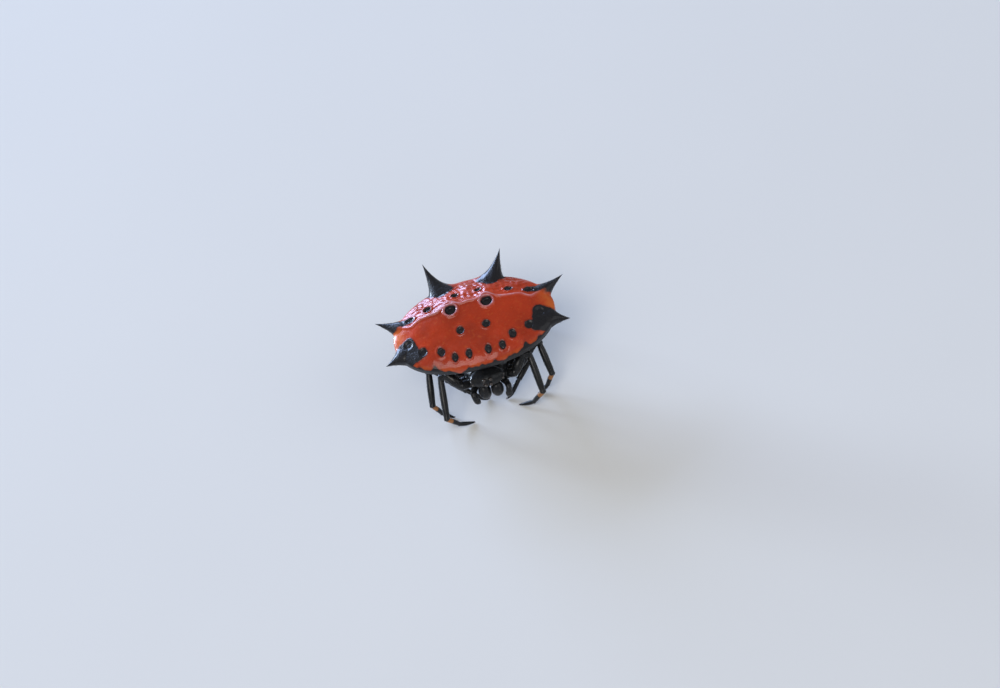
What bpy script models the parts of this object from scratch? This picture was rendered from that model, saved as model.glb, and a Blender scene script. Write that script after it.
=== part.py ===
"""Spiny orb weaver, a life-size still model of the adult female, standing on eight small flats.

The broad abdomen is a hard shield with six conical spines and rows of sunken oval pits, carried over a
small black front body on eight legs. The animal faces -Y, its back is up, and the floor is at Z = 0.
"""

import math

import bmesh
import bpy
from mathutils import Matrix, Vector

MM = 0.001
GAP = 0.3

# Driving sizes, in millimetres
SPAN = 13.0
SHIELD_HALF_WIDTH = 5.5
SHIELD_FRONT = 3.5
SHIELD_REAR = 3.45
SHIELD_TILT = math.radians(6.0)
SHIELD_CENTRE = Vector((0.0, 0.2, 5.0))
FRONT_SQUARENESS = 2.25
REAR_SQUARENESS = 1.85

# The back rises from its rim to a ridge that runs across behind the middle
RIM_HEIGHT = 0.5
RIDGE_HEIGHT = 1.62
RIDGE_Y = 0.95
FRONT_FALL = 0.8
REAR_FALL = 0.92
RIM_ROUNDING = 0.42

# The underside bulges to a cone that carries the spinnerets
BELLY_RIM = 0.42
BELLY_DEPTH = 2.05
BELLY_SPREAD = 2.2
CONE_Y = 0.9
CONE_RING_RADIUS = 0.72
CONE_RING_DEPTH = 0.16
CONE_SINK = 0.12
CONE_RING = (
    (0.8, -0.5),
    (1.12, -0.1),
    (1.02, 0.2),
    (0.82, 0.28),
    (0.7, 0.18),
)

# Spinnerets: how far they stand from the cone's end, their low base, and for each pair how far behind and
# beside the middle it is, with its length and radius
SPINNERET_DROP = 0.22 + GAP
SPINNERET_BASE = ((0.0, 0.0), (0.44, 0.0), (0.46, 0.1), (0.34, 0.24), (0.0, 0.26))
SPINNERETS = ((-0.22, 0.23, 0.55, 0.25), (0.24, 0.2, 0.5, 0.22))

# Spines for the +X side, in the shield's frame: base centre, tip, radius, flare of the foot, how much of
# the flare goes to the side nearer the middle, and how much the foot is flattened to the shield's rim
SPINES = {
    "rear": (Vector((1.86, 2.82, 0.16)), Vector((2.65, 4.87, 1.08)), 0.37, 0.56, 0.9, 0.5),
    "side_rear": (Vector((4.92, 1.08, 0.1)), Vector((SPAN / 2, 1.93, 0.26)), 0.31, 0.2, 0.5, 0.2),
    "side_front": (Vector((5.0, -1.07, 0.0)), Vector((6.34, -1.4, -0.1)), 0.32, 0.14, 0.0, 0.1),
}
# The rear pair leans a little to the right and its left spine is the longer one
REAR_LEAN = Vector((0.16, -0.18, 0.0))
SPINE_ROOT = 0.85
SPINE_SIDES = 12
SPINE_RINGS = (0.0, 0.08, 0.18, 0.32, 0.55, 0.82)

# Sunken pits of the back: x, y, half width and half length, in the shield's frame for the +X side
PITS = (
    (0.65, -2.64, 0.2, 0.27),
    (1.62, -2.62, 0.2, 0.27),
    (2.44, -2.02, 0.23, 0.28),
    (3.62, -1.58, 0.26, 0.27),
    (4.5, -0.7, 0.27, 0.27),
    (0.87, -0.95, 0.24, 0.24),
    (1.23, 0.65, 0.34, 0.31),
    (0.79, 1.9, 0.2, 0.16),
    (2.78, 1.42, 0.23, 0.19),
    (4.09, 1.1, 0.28, 0.18),
)
PIT_DEPTH = 0.1
PIT_CAP = 0.72

# Front body: half widths, and heights along Y
HEAD_FRONT_Y = -3.72
BODY_REAR_Y = -0.75
HEAD_HALF_WIDTH = 1.22
THORAX_HALF_WIDTH = 1.5
HEAD_TOP = 3.9
THORAX_TOP = 3.3
FACE_BOTTOM = 2.9
BELLY_PLATE = 1.95
FACE_BLUNTNESS = 3.2
REAR_BLUNTNESS = 2.0
BODY_FLATNESS = 0.85
WIDEST_LEVEL = 0.45
# Where along Y each of these starts to change from head to thorax, and over what length
WIDTH_CHANGE = (-2.92, 1.1)
TOP_CHANGE = (-2.82, 1.5)
BELLY_CHANGE = (-3.0, 0.5)
STALK_FOOT = Vector((0.0, -1.3, 2.85))
STALK_Y = -1.15
STALK_OFFSET = Vector((0.0, -0.05, -GAP - 0.08))
STALK_RADII = (0.42, 0.32, 0.3)

# The low mound that carries the middle eyes: place and radii
EYE_MOUND = ((0.0, HEAD_FRONT_Y + 0.3, HEAD_TOP - 0.4), (0.42, 0.34, 0.32))
# Eyes for the +X side: place and radius
EYES = (
    (0.16, HEAD_FRONT_Y + 0.0, 3.4, 0.12),
    (0.2, HEAD_FRONT_Y + 0.12, 3.72, 0.12),
    (1.0, HEAD_FRONT_Y + 0.3, 3.3, 0.11),
    (1.08, HEAD_FRONT_Y + 0.48, 3.42, 0.11),
)

# Jaws under the face, and the feelers beside them for the +X side
JAW_CENTRE = Vector((0.48, -3.42, 2.16))
JAW_RADII = Vector((0.32, 0.35, 0.47))
JAW_SWELL = 0.1
FANG = ((0.0, -0.1), (0.18, -0.08), (0.15, 0.12), (0.08, 0.28), (0.0, 0.36))
FANG_FOOT = Vector((0.04, 0.1, -0.34))
FANG_POINT = Vector((-0.2, 0.24, -0.6))
PALP = (
    Vector((1.25, -3.16, 2.4)),
    Vector((1.3, -3.56, 2.42)),
    Vector((1.26, -3.72, 2.05)),
    Vector((1.1, -3.64, 1.62)),
)
PALP_RADII = (0.21, 0.24, 0.23, 0.15)
PALP_MIDDLES = (0.23, 0.23, 0.22)

# Hips on the front body for the +X side, from the breast plate to the outer end of each
HIPS = (
    (Vector((0.6, -2.3, 2.35)), Vector((1.3, -2.54, 2.54))),
    (Vector((0.65, -1.8, 2.25)), Vector((1.4, -1.9, 2.2))),
    (Vector((0.65, -1.45, 2.2)), Vector((1.38, -1.22, 2.06))),
    (Vector((0.5, -1.25, 2.25)), Vector((1.0, -0.72, 2.25))),
)
HIP_PROFILE = ((0.0, -0.15), (0.34, -0.1), (1.0, 0.3), (1.0, 0.72), (0.86, 0.95), (0.6, 1.0), (0.0, 1.0))
HIP_RADIUS = 0.36
RING_LENGTH = 0.34

# Leg joints after the ring beyond the hip, for the +X side: knee, knee's end, shin's end, foot's joint and
# tip
LEGS = (
    ((2.56, -2.0, 3.4), (3.03, -1.97, 3.2), (3.26, -3.9, 1.35), (2.45, -3.72, 0.42), (1.5, -3.4, -0.02)),
    ((3.66, -0.64, 2.98), (3.8, -1.06, 2.88), (4.1, -2.6, 1.35), (3.6, -2.62, 0.45), (2.92, -2.82, -0.02)),
    ((2.88, -0.72, 1.82), (2.78, -1.15, 1.6), (1.85, -1.95, 1.0), (1.25, -2.4, 0.45), (0.76, -2.58, -0.02)),
    ((2.9, 1.2, 3.05), (3.1, 1.7, 2.8), (2.95, 3.1, 1.15), (2.6, 3.65, 0.45), (2.15, 4.1, -0.02)),
)
# The pose is not quite even: how far the left leg's joints stand from the mirror image of the right one
LEFT_SHIFT = (
    Vector((0.05, -0.05, 0.0)),
    Vector((0.05, -0.05, 0.0)),
    Vector((0.1, -0.2, 0.0)),
    Vector((0.25, -0.25, 0.0)),
    Vector((0.3, -0.45, 0.0)),
)
LEFT_SHARE = (1.0, 0.4, -0.8, 0.4)
# Radii at each joint and at the middle of each length between them
JOINT_RADII = (0.27, 0.28, 0.27, 0.26, 0.25, 0.24, 0.16)
MIDDLE_RADII = (0.3, 0.32, 0.29, 0.28, 0.25, 0.24)
LEG_SIZES = (1.0, 0.98, 0.95, 1.0)
LIMB_SIDES = 9
# The round ends of each length, as shares of its radius
END_REACH = 0.8
END_ROUNDING = 0.55
END_WAIST = 0.72


def material(name, colour, roughness):
    made = bpy.data.materials.new(name)
    made.use_nodes = True
    shader = made.node_tree.nodes["Principled BSDF"]
    shader.inputs["Base Color"].default_value = (*colour, 1.0)
    shader.inputs["Roughness"].default_value = roughness
    shader.inputs["Metallic"].default_value = 0.0
    return made


def collection(name):
    made = bpy.data.collections.new(name)
    bpy.context.scene.collection.children.link(made)
    return made


def to_object(name, mesh_data, parent):
    """Writes a bmesh in millimetres to a new object in metres."""
    bmesh.ops.scale(mesh_data, vec=(MM, MM, MM), verts=mesh_data.verts)
    bmesh.ops.recalc_face_normals(mesh_data, faces=mesh_data.faces)
    mesh = bpy.data.meshes.new(name)
    mesh_data.to_mesh(mesh)
    mesh_data.free()
    made = bpy.data.objects.new(name, mesh)
    parent.objects.link(made)
    return made


def moulded_ball(segments, rings, place, poles="Z"):
    """A sphere whose every point is moved by place, which takes the point's direction."""
    shape = bmesh.new()
    bmesh.ops.create_uvsphere(shape, u_segments=segments, v_segments=rings, radius=1.0)
    if poles == "Y":
        bmesh.ops.rotate(shape, verts=shape.verts, matrix=Matrix.Rotation(math.radians(90.0), 3, "X"))
    for vert in shape.verts:
        vert.co = place(vert.co.copy())
    return shape


def ellipsoid(centre, radii, segments=12, rings=8):
    def place(direction):
        return Vector(centre) + direction * Vector(radii)

    return moulded_ball(segments, rings, place)


def evaluated(holder):
    """The mesh of an object with its modifiers, and the object removed."""
    graph = bpy.context.evaluated_depsgraph_get()
    mesh = bpy.data.meshes.new_from_object(holder.evaluated_get(graph))
    bpy.data.objects.remove(holder)
    shape = bmesh.new()
    shape.from_mesh(mesh)
    bpy.data.meshes.remove(mesh)
    bmesh.ops.remove_doubles(shape, verts=shape.verts, dist=1e-7)
    bmesh.ops.recalc_face_normals(shape, faces=shape.faces)
    return shape


def turned(profile, sides):
    """Turns a profile of (radius, height) about Z. It starts and ends on the axis."""
    line = bmesh.new()
    verts = [line.verts.new((radius * MM, 0.0, height * MM)) for radius, height in profile]
    for pair in zip(verts, verts[1:]):
        line.edges.new(pair)
    mesh = bpy.data.meshes.new("profile")
    line.to_mesh(mesh)
    line.free()
    holder = bpy.data.objects.new("profile", mesh)
    bpy.context.scene.collection.objects.link(holder)
    screw = holder.modifiers.new("turn", "SCREW")
    screw.axis = "Z"
    screw.steps = sides
    screw.render_steps = sides
    screw.use_merge_vertices = True
    screw.merge_threshold = 1e-6
    shape = evaluated(holder)
    bmesh.ops.scale(shape, vec=(1 / MM, 1 / MM, 1 / MM), verts=shape.verts)
    return shape


def aim(shape, base, tip):
    """Turns a shape's +Z towards tip and sets its origin on base."""
    turn = (tip - base).to_track_quat("Z", "Y").to_matrix().to_4x4()
    shape.transform(Matrix.Translation(base) @ turn)
    return shape


def combine(name, first, others, operation):
    """Joins or cuts the first object with a collection of the others, which are then removed."""
    tools = bpy.data.collections.new(name + "_tools")
    bpy.context.scene.collection.children.link(tools)
    for other in others:
        for owner in list(other.users_collection):
            owner.objects.unlink(other)
        tools.objects.link(other)
    modifier = first.modifiers.new(operation.lower(), "BOOLEAN")
    modifier.operation = operation
    modifier.operand_type = "COLLECTION"
    modifier.collection = tools
    modifier.solver = "MANIFOLD"
    graph = bpy.context.evaluated_depsgraph_get()
    made = bpy.data.meshes.new_from_object(first.evaluated_get(graph))
    first.modifiers.clear()
    old = first.data
    first.data = made
    bpy.data.meshes.remove(old)
    made.name = name
    for other in others:
        bpy.data.objects.remove(other)
    bpy.data.collections.remove(tools)
    keep_largest(first)
    return first


def keep_largest(node):
    """Drops loose scraps and sealed hollows that a Boolean may leave."""
    shape = bmesh.new()
    shape.from_mesh(node.data)
    shape.verts.ensure_lookup_table()
    unseen = set(shape.verts)
    islands = []
    while unseen:
        stack = [unseen.pop()]
        island = set(stack)
        while stack:
            for edge in stack.pop().link_edges:
                for vert in edge.verts:
                    if vert in unseen:
                        unseen.discard(vert)
                        island.add(vert)
                        stack.append(vert)
        islands.append(island)
    islands.sort(key=len, reverse=True)
    loose = [vert for island in islands[1:] for vert in island]
    bmesh.ops.delete(shape, geom=loose, context="VERTS")
    shape.to_mesh(node.data)
    shape.free()


def finish(node, finish_material, smooth_angle=40.0):
    node.data.materials.clear()
    node.data.materials.append(finish_material)
    node.data.shade_smooth()
    node.data.set_sharp_from_angle(angle=math.radians(smooth_angle))


def in_world(point):
    """From the shield's frame to the world's: tilted with its rear up, over the floor."""
    return Matrix.Rotation(SHIELD_TILT, 3, "X") @ Vector(point) + SHIELD_CENTRE


def outline_radius(x, y):
    """How far the shield's rim is from its centre in the direction of x, y."""
    reach = math.hypot(x, y)
    depth, power = (SHIELD_FRONT, FRONT_SQUARENESS) if y < 0 else (SHIELD_REAR, REAR_SQUARENESS)
    across = (abs(x) / reach / SHIELD_HALF_WIDTH) ** power
    along = (abs(y) / reach / depth) ** power
    return (across + along) ** (-1.0 / power)


def back_height(x, y):
    """Height of the back over the rim's plane, before the rim is rounded."""
    if y < RIDGE_Y:
        fall = FRONT_FALL * ((RIDGE_Y - y) / (RIDGE_Y + SHIELD_FRONT)) ** 1.4
    else:
        fall = REAR_FALL * min(1.0, (y - RIDGE_Y) / (SHIELD_REAR - RIDGE_Y)) ** 1.15
    across = max(0.0, 1.0 - (x / SHIELD_HALF_WIDTH) ** 2) ** 0.9
    return RIM_HEIGHT + (RIDGE_HEIGHT - RIM_HEIGHT) * (1.0 - fall) * across


def belly_depth(x, y):
    """Depth of the underside below the rim's plane, before the rim is rounded."""
    away = math.hypot(x, y - CONE_Y) / BELLY_SPREAD
    return BELLY_RIM + BELLY_DEPTH * math.exp(-away * away)


def shield_point(direction):
    """Moulds a point of a sphere to the abdomen, in the shield's frame."""
    flat = math.hypot(direction.x, direction.y)
    if flat < 1e-6:
        x = y = 0.0
    else:
        scale = outline_radius(direction.x, direction.y)
        x, y = direction.x * scale, direction.y * scale
    rounding = abs(direction.z) ** RIM_ROUNDING
    z = back_height(x, y) * rounding if direction.z > 0 else -belly_depth(x, y) * rounding
    return in_world((x, y, z))


def back_surface(x, y):
    """The point of the back over x, y in the world, and the way out from it."""
    def height(px, py):
        share = math.hypot(px, py) / outline_radius(px, py)
        return back_height(px, py) * max(0.0, 1.0 - share * share) ** (RIM_ROUNDING / 2.0)

    step = 0.05
    z = height(x, y)
    slope_x = (height(x + step, y) - height(x - step, y)) / (2 * step)
    slope_y = (height(x, y + step) - height(x, y - step)) / (2 * step)
    outward = Matrix.Rotation(SHIELD_TILT, 3, "X") @ Vector((-slope_x, -slope_y, 1.0)).normalized()
    return in_world((x, y, z)), outward


def cone_end():
    """Where the underside's cone ends, and the way down from it."""
    down = Matrix.Rotation(SHIELD_TILT, 3, "X") @ Vector((0.0, 0.0, -1.0))
    return in_world((0.0, CONE_Y, CONE_SINK - belly_depth(0.0, CONE_Y))), down


def spine(base, tip, radius, flare, lean, flatness):
    """A cone with a flared foot, drawn towards the middle, on a round root sunk in the shield."""
    length = (tip - base).length
    foot = radius + flare
    profile = [(0.0, -SPINE_ROOT), (foot * 0.6, -SPINE_ROOT * 0.8), (foot * 0.9, -SPINE_ROOT * 0.4)]
    profile += [(radius * (1.0 - t) ** 0.9 + flare * (1.0 - t) ** 6, t * length) for t in SPINE_RINGS]
    profile += [(0.0, length)]
    shape = aim(turned(profile, SPINE_SIDES), base, tip)
    axis = (tip - base).normalized()
    inward = Vector((-math.copysign(1.0, base.x), 0.0, 0.0))
    inward = (inward - axis * inward.dot(axis)).normalized()
    upward = axis.cross(inward)
    for vert in shape.verts:
        t = min(1.0, max(0.0, (vert.co - base).dot(axis) / length))
        vert.co += inward * flare * lean * (1.0 - t) ** 6
        vert.co -= upward * (vert.co - base).dot(upward) * flatness * (1.0 - t) ** 3
    return shape


def pit_cutter(x, y, half_width, half_length):
    """A flat ball whose lower cap sinks a pit into the back."""
    centre, outward = back_surface(x, y)
    height = PIT_DEPTH / (1.0 - math.sqrt(1.0 - PIT_CAP * PIT_CAP))
    shape = bmesh.new()
    bmesh.ops.create_uvsphere(shape, u_segments=10, v_segments=8, radius=1.0)
    bmesh.ops.scale(shape, vec=(half_width / PIT_CAP, half_length / PIT_CAP, height), verts=shape.verts)
    raised = centre + outward * (height - PIT_DEPTH)
    turn = outward.to_track_quat("Z", "Y").to_matrix().to_4x4()
    shape.transform(Matrix.Translation(raised) @ turn)
    return shape


def abdomen(parent, shell):
    """The shield with its six spines, the ring round the spinnerets and the sunken pits."""
    body = to_object("abdomen", moulded_ball(48, 26, shield_point), parent)
    pieces = []
    for name, (base, tip, *sizes) in SPINES.items():
        for side in (-1, 1):
            mirror = Vector((side, 1.0, 1.0))
            point = tip * mirror
            if name == "rear":
                point += Vector((REAR_LEAN.x, REAR_LEAN.y * side, 0.0))
            pieces.append(spine(in_world(base * mirror), in_world(point), *sizes))
    cone_top, down = cone_end()
    ring = [(CONE_RING_RADIUS * radius, height) for radius, height in CONE_RING]
    ring = [(0.0, ring[0][1])] + ring + [(0.0, CONE_RING_DEPTH)]
    pieces.append(aim(turned(ring, 20), cone_top, cone_top + down))
    tools = [to_object("piece", piece, parent) for piece in pieces]
    combine("abdomen", body, tools, "UNION")
    cutters = []
    for x, y, half_width, half_length in PITS:
        for side in (-1, 1):
            cutters.append(to_object("pit", pit_cutter(side * x, y, half_width, half_length), parent))
    combine("abdomen", body, cutters, "DIFFERENCE")
    finish(body, shell, smooth_angle=28.0)
    return body


def spinnerets(parent, dark):
    """Two large pairs and one small pair of blunt cones on a low base, under the cone's ring."""
    cone_top, down = cone_end()
    root = cone_top + down * SPINNERET_DROP
    base = aim(turned(SPINNERET_BASE, 16), root, root + down)
    body = to_object("spinnerets", base, parent)
    pieces = []
    for along, apart, length, radius in SPINNERETS:
        for side in (-1, 1):
            foot = root + Vector((side * apart * 0.7, along * 0.7, 0.0))
            point = root + down * length + Vector((side * apart * 0.75, along * 0.8, 0.0))
            reach = (point - foot).length
            cone = [(0.0, 0.05), (radius, 0.06), (radius * 0.9, reach * 0.7)]
            cone += [(radius * 0.4, reach), (0.0, reach)]
            pieces.append(aim(turned(cone, 10), foot, point))
    tools = [to_object("piece", piece, parent) for piece in pieces]
    combine("spinnerets", body, tools, "UNION")
    finish(body, dark)
    return body


def change(y, before, after, place):
    """Goes smoothly from one value to another along Y."""
    start, length = place
    share = min(1.0, max(0.0, (y - start) / length))
    return before + (after - before) * share * share * (3.0 - 2.0 * share)


def front_body_point(direction):
    """Moulds a point of a sphere to the front body: a high narrow head before a broad low thorax."""
    y = (HEAD_FRONT_Y + BODY_REAR_Y) / 2.0 + (BODY_REAR_Y - HEAD_FRONT_Y) / 2.0 * direction.y
    width = change(y, HEAD_HALF_WIDTH, THORAX_HALF_WIDTH, WIDTH_CHANGE)
    top = change(y, HEAD_TOP, THORAX_TOP, TOP_CHANGE)
    bottom = change(y, FACE_BOTTOM, BELLY_PLATE, BELLY_CHANGE)
    level = bottom + (top - bottom) * WIDEST_LEVEL
    bluntness = FACE_BLUNTNESS if direction.y < 0 else REAR_BLUNTNESS
    end = max(0.0, 1.0 - abs(direction.y) ** bluntness) ** (1.0 / bluntness)
    around = math.hypot(direction.x, direction.z)
    if around < 1e-6:
        return Vector((0.0, y, level))
    across = direction.x / around
    up = direction.z / around
    x = width * end * math.copysign(abs(across) ** BODY_FLATNESS, across)
    height = top - level if up > 0 else level - bottom
    return Vector((x, y, level + height * end * math.copysign(abs(up) ** BODY_FLATNESS, up)))


def cephalothorax(parent, dark):
    """The front body with its eight eyes, hips and the stalk that carries the abdomen."""
    body = to_object("cephalothorax", moulded_ball(24, 22, front_body_point, "Y"), parent)
    pieces = []
    for root, end in HIPS:
        for side in (-1, 1):
            mirror = Vector((side, 1.0, 1.0))
            length = (end - root).length
            profile = [(radius * HIP_RADIUS, height * length) for radius, height in HIP_PROFILE]
            pieces.append(aim(turned(profile, 10), root * mirror, end * mirror))
    stalk_top = in_world((0.0, STALK_Y, -belly_depth(0.0, STALK_Y))) + STALK_OFFSET
    reach = (stalk_top - STALK_FOOT).length
    foot, waist, head = STALK_RADII
    stalk = ((0.0, 0.0), (foot, 0.0), (waist, reach * 0.7), (head, reach), (0.0, reach))
    pieces.append(aim(turned(stalk, 12), STALK_FOOT, stalk_top))
    pieces.append(ellipsoid(*EYE_MOUND))
    for x, y, z, radius in EYES:
        for side in (-1, 1):
            pieces.append(ellipsoid((side * x, y, z), (radius, radius, radius), 8, 6))
    tools = [to_object("piece", piece, parent) for piece in pieces]
    combine("cephalothorax", body, tools, "UNION")
    finish(body, dark)
    return body


def chelicera(side, parent, dark):
    """One stout jaw below the face, with its fang folded across the tip."""
    word = "left" if side < 0 else "right"
    mirror = Vector((side, 1.0, 1.0))

    def jaw_point(direction):
        return (JAW_CENTRE + direction * JAW_RADII * (1.0 + JAW_SWELL * direction.z)) * mirror

    body = to_object("chelicera_" + word, moulded_ball(14, 10, jaw_point), parent)
    fang = aim(turned(FANG, 8), (JAW_CENTRE + FANG_FOOT) * mirror, (JAW_CENTRE + FANG_POINT) * mirror)
    combine(body.name, body, [to_object("piece", fang, parent)], "UNION")
    finish(body, dark)
    return body


def palp(side, parent, dark):
    """One feeler, from beside the jaw forward and down."""
    word = "left" if side < 0 else "right"
    joints = [place * Vector((side, 1.0, 1.0)) for place in PALP]
    node = limb("palp_" + word, joints, PALP_RADII, PALP_MIDDLES, parent)
    finish(node, dark)
    return node


def segment(start, end, radii, flat_start):
    """One length of a limb, swollen or thinned at its middle, with round ends that fill the joints."""
    first, middle, last = radii
    length = (end - start).length
    if flat_start:
        profile = [(0.0, 0.0), (0.8 * first, 0.0), (first, 0.12)]
    else:
        profile = [(0.0, -END_REACH * first), (END_WAIST * first, -END_ROUNDING * first), (first, 0.0)]
    profile += [(middle, 0.5 * length), (last, length), (END_WAIST * last, length + END_ROUNDING * last)]
    profile += [(0.0, length + END_REACH * last)]
    return aim(turned(profile, LIMB_SIDES), start, end)


def limb(name, joints, radii, middles, parent):
    """Joins the lengths between a limb's joints to one node."""
    pieces = []
    for index, (start, end) in enumerate(zip(joints, joints[1:])):
        sizes = (radii[index], middles[index], radii[index + 1])
        pieces.append(to_object(name, segment(start, end, sizes, index == 0), parent))
    return combine(name, pieces[0], pieces[1:], "UNION")


def stand_flat(node):
    """Cuts the foot off level with the floor."""
    shape = bmesh.new()
    shape.from_mesh(node.data)
    cut = bmesh.ops.bisect_plane(
        shape,
        geom=shape.verts[:] + shape.edges[:] + shape.faces[:],
        plane_co=(0.0, 0.0, 0.0),
        plane_no=(0.0, 0.0, 1.0),
        clear_inner=True,
    )
    rim = [item for item in cut["geom_cut"] if isinstance(item, bmesh.types.BMEdge)]
    bmesh.ops.edgeloop_fill(shape, edges=rim)
    bmesh.ops.recalc_face_normals(shape, faces=shape.faces)
    shape.to_mesh(node.data)
    shape.free()


def leg(number, side, parent, dark):
    """One walking leg, from its ring beyond the hip to the foot."""
    word = "left" if side < 0 else "right"
    mirror = Vector((side, 1.0, 1.0))
    root, end = HIPS[number]
    axis = (end - root).normalized()
    joints = [(end + axis * reach) * mirror for reach in (GAP, GAP + RING_LENGTH)]
    for place, shift in zip(LEGS[number], LEFT_SHIFT):
        uneven = shift * LEFT_SHARE[number] if side < 0 else Vector()
        joints.append((Vector(place) + uneven) * mirror)
    size = LEG_SIZES[number]
    radii = [radius * size for radius in JOINT_RADII]
    middles = [radius * size for radius in MIDDLE_RADII]
    node = limb(f"leg_{number + 1}_{word}", joints, radii, middles, parent)
    stand_flat(node)
    finish(node, dark)
    return node


def centre_over_origin(nodes, holder):
    """Moves the empty that holds every node so that the box round them stands centred on the origin."""
    points = [vert.co for node in nodes for vert in node.data.vertices]
    for axis in (0, 1):
        reach = [point[axis] for point in points]
        holder.location[axis] = -(min(reach) + max(reach)) / 2.0


def main():
    for item in list(bpy.data.objects):
        bpy.data.objects.remove(item)
    spider = collection("spiny_orb_weaver")
    shell = material("shield", (0.55, 0.075, 0.02), 0.3)
    dark = material("black_shell", (0.02, 0.019, 0.022), 0.35)
    brown = material("leg_shell", (0.035, 0.022, 0.018), 0.4)
    nodes = [abdomen(spider, shell), spinnerets(spider, dark), cephalothorax(spider, dark)]
    for side in (-1, 1):
        nodes.append(chelicera(side, spider, dark))
        nodes.append(palp(side, spider, brown))
        nodes += [leg(number, side, spider, brown) for number in range(len(LEGS))]
    holder = bpy.data.objects.new("stance", None)
    spider.objects.link(holder)
    for node in nodes:
        node.parent = holder
    centre_over_origin(nodes, holder)
    bpy.context.view_layer.update()


main()
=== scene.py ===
"""Spiny orb weaver: the finished looks of the life-size model, with its studio.

The animal faces -Y with its back up, and the floor is at Z = 0. Shapes are worked out in millimetres and
written in metres.
"""

import math

import bmesh
import bpy
import numpy as np
from bpy.props import FloatProperty, FloatVectorProperty, IntProperty, PointerProperty
from bpy.types import Operator, Panel, PropertyGroup
from mathutils import Matrix, Vector


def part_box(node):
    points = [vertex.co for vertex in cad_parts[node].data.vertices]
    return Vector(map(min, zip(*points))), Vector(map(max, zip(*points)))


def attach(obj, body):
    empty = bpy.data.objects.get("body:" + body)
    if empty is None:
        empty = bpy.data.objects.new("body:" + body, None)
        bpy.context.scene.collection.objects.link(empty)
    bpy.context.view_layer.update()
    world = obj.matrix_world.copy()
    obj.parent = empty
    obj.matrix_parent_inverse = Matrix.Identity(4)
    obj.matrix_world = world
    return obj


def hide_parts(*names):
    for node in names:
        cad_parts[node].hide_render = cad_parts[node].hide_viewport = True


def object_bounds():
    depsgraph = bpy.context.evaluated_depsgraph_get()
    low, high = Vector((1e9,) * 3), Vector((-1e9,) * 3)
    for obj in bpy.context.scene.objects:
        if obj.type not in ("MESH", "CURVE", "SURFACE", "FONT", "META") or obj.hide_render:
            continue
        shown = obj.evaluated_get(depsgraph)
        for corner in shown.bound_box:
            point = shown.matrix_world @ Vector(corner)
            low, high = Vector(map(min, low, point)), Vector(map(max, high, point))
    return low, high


bl_info = {
    "name": "Spiny Orb Weaver",
    "version": (1, 0, 0),
    "blender": (4, 5, 0),
    "location": "View3D > Sidebar > Spider",
    "description": "Builds a life-size spiny orb weaver and the studio round it",
    "category": "Add Mesh",
}

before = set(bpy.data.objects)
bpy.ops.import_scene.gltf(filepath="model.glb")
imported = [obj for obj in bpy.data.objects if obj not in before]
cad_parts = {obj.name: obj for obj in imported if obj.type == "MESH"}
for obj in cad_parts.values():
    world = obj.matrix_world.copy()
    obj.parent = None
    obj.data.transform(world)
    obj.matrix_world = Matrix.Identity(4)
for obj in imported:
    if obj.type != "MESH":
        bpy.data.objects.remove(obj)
solid_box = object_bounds()

MM = 0.001
SIDES = (-1, 1)
# What every colour setting has
PARTS = {"size": 3, "min": 0.0, "max": 1.0}

# The shield of the abdomen, in its own frame, in millimetres
SHIELD_CENTRE = Vector((0.0, 0.2, 5.0))
SHIELD_TILT = math.radians(6.0)
HALF_WIDTH = 5.5
FRONT = 3.5
REAR = 3.45
FRONT_SQUARENESS = 2.25
REAR_SQUARENESS = 1.85
RIM_HEIGHT = 0.5
RIDGE_HEIGHT = 1.5
FRONT_FALL = 0.8
REAR_FALL = 0.92
FRONT_CURVE = 1.32
REAR_CURVE = 1.05
ACROSS_CURVE = 0.9
RIM_ROUNDING = 0.42
SHIELD_CUTS = 125

# The ridge across the back: its line, and waves of it as place across, width and shift to the rear
RIDGE_Y = 0.8
RIDGE_WAVES = ((1.25, 0.55, 0.5), (0.0, 0.5, 0.17), (4.1, 0.4, -0.28), (5.1, 0.3, 0.25))
CREST_WIDTH = 0.11
CREASE_DEPTH = 0.013
WRINKLE_DEPTH = 0.008

# The underside: its rim, the cone's depth and spread, and the ring at the cone's end
BELLY_RIM = 0.42
BELLY_DEPTH = 2.05
BELLY_SPREAD = 2.2
CONE_Y = 0.9
RING_RADIUS = 0.66
RING_WIDTH = 0.15
RING_HEIGHT = 0.42
RING_HOLLOW = 0.2

# Folds round the cone: their number and depth, and where they begin and fade, from the cone's middle
FOLDS = 14.0
FOLD_DEPTH = 0.035
FOLD_START = (0.9, 1.8)
FOLD_END = 4.6
FOLD_FADE = 1.6

# The edge of the underside's black in front: its level, its rise, and its lobes' x, width and height
MARGIN_LEVEL = -0.1
MARGIN_RISE = 0.42
MARGIN_LOBES = ((-1.6, 0.42, 0.4), (1.5, 0.4, 0.14), (-3.1, 0.3, -0.16), (3.1, 0.3, -0.16))

# Pits of the back for the +X side: x, y, half width, half length, depth and height of the raised edge
PITS = (
    (0.65, -2.64, 0.2, 0.27, 0.07, 0.04),
    (1.62, -2.62, 0.2, 0.27, 0.07, 0.04),
    (2.44, -2.02, 0.23, 0.28, 0.07, 0.04),
    (3.62, -1.58, 0.26, 0.27, 0.07, 0.02),
    (4.5, -0.7, 0.27, 0.27, 0.07, 0.02),
    (0.87, -0.95, 0.24, 0.24, 0.07, 0.03),
    (1.23, 0.65, 0.34, 0.31, 0.14, 0.13),
    (0.79, 1.9, 0.2, 0.16, 0.08, 0.05),
    (2.78, 1.42, 0.23, 0.19, 0.1, 0.06),
    (4.09, 1.1, 0.28, 0.18, 0.08, 0.05),
)
# A pit's wall, its raised edge and the knob on its floor, as shares of its radii and depth
PIT_WALL = (0.72, 1.12)
PIT_RIM = (1.42, 0.26)
KNOB_HEIGHT = 0.25
KNOB_RADIUS = 0.7

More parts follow.
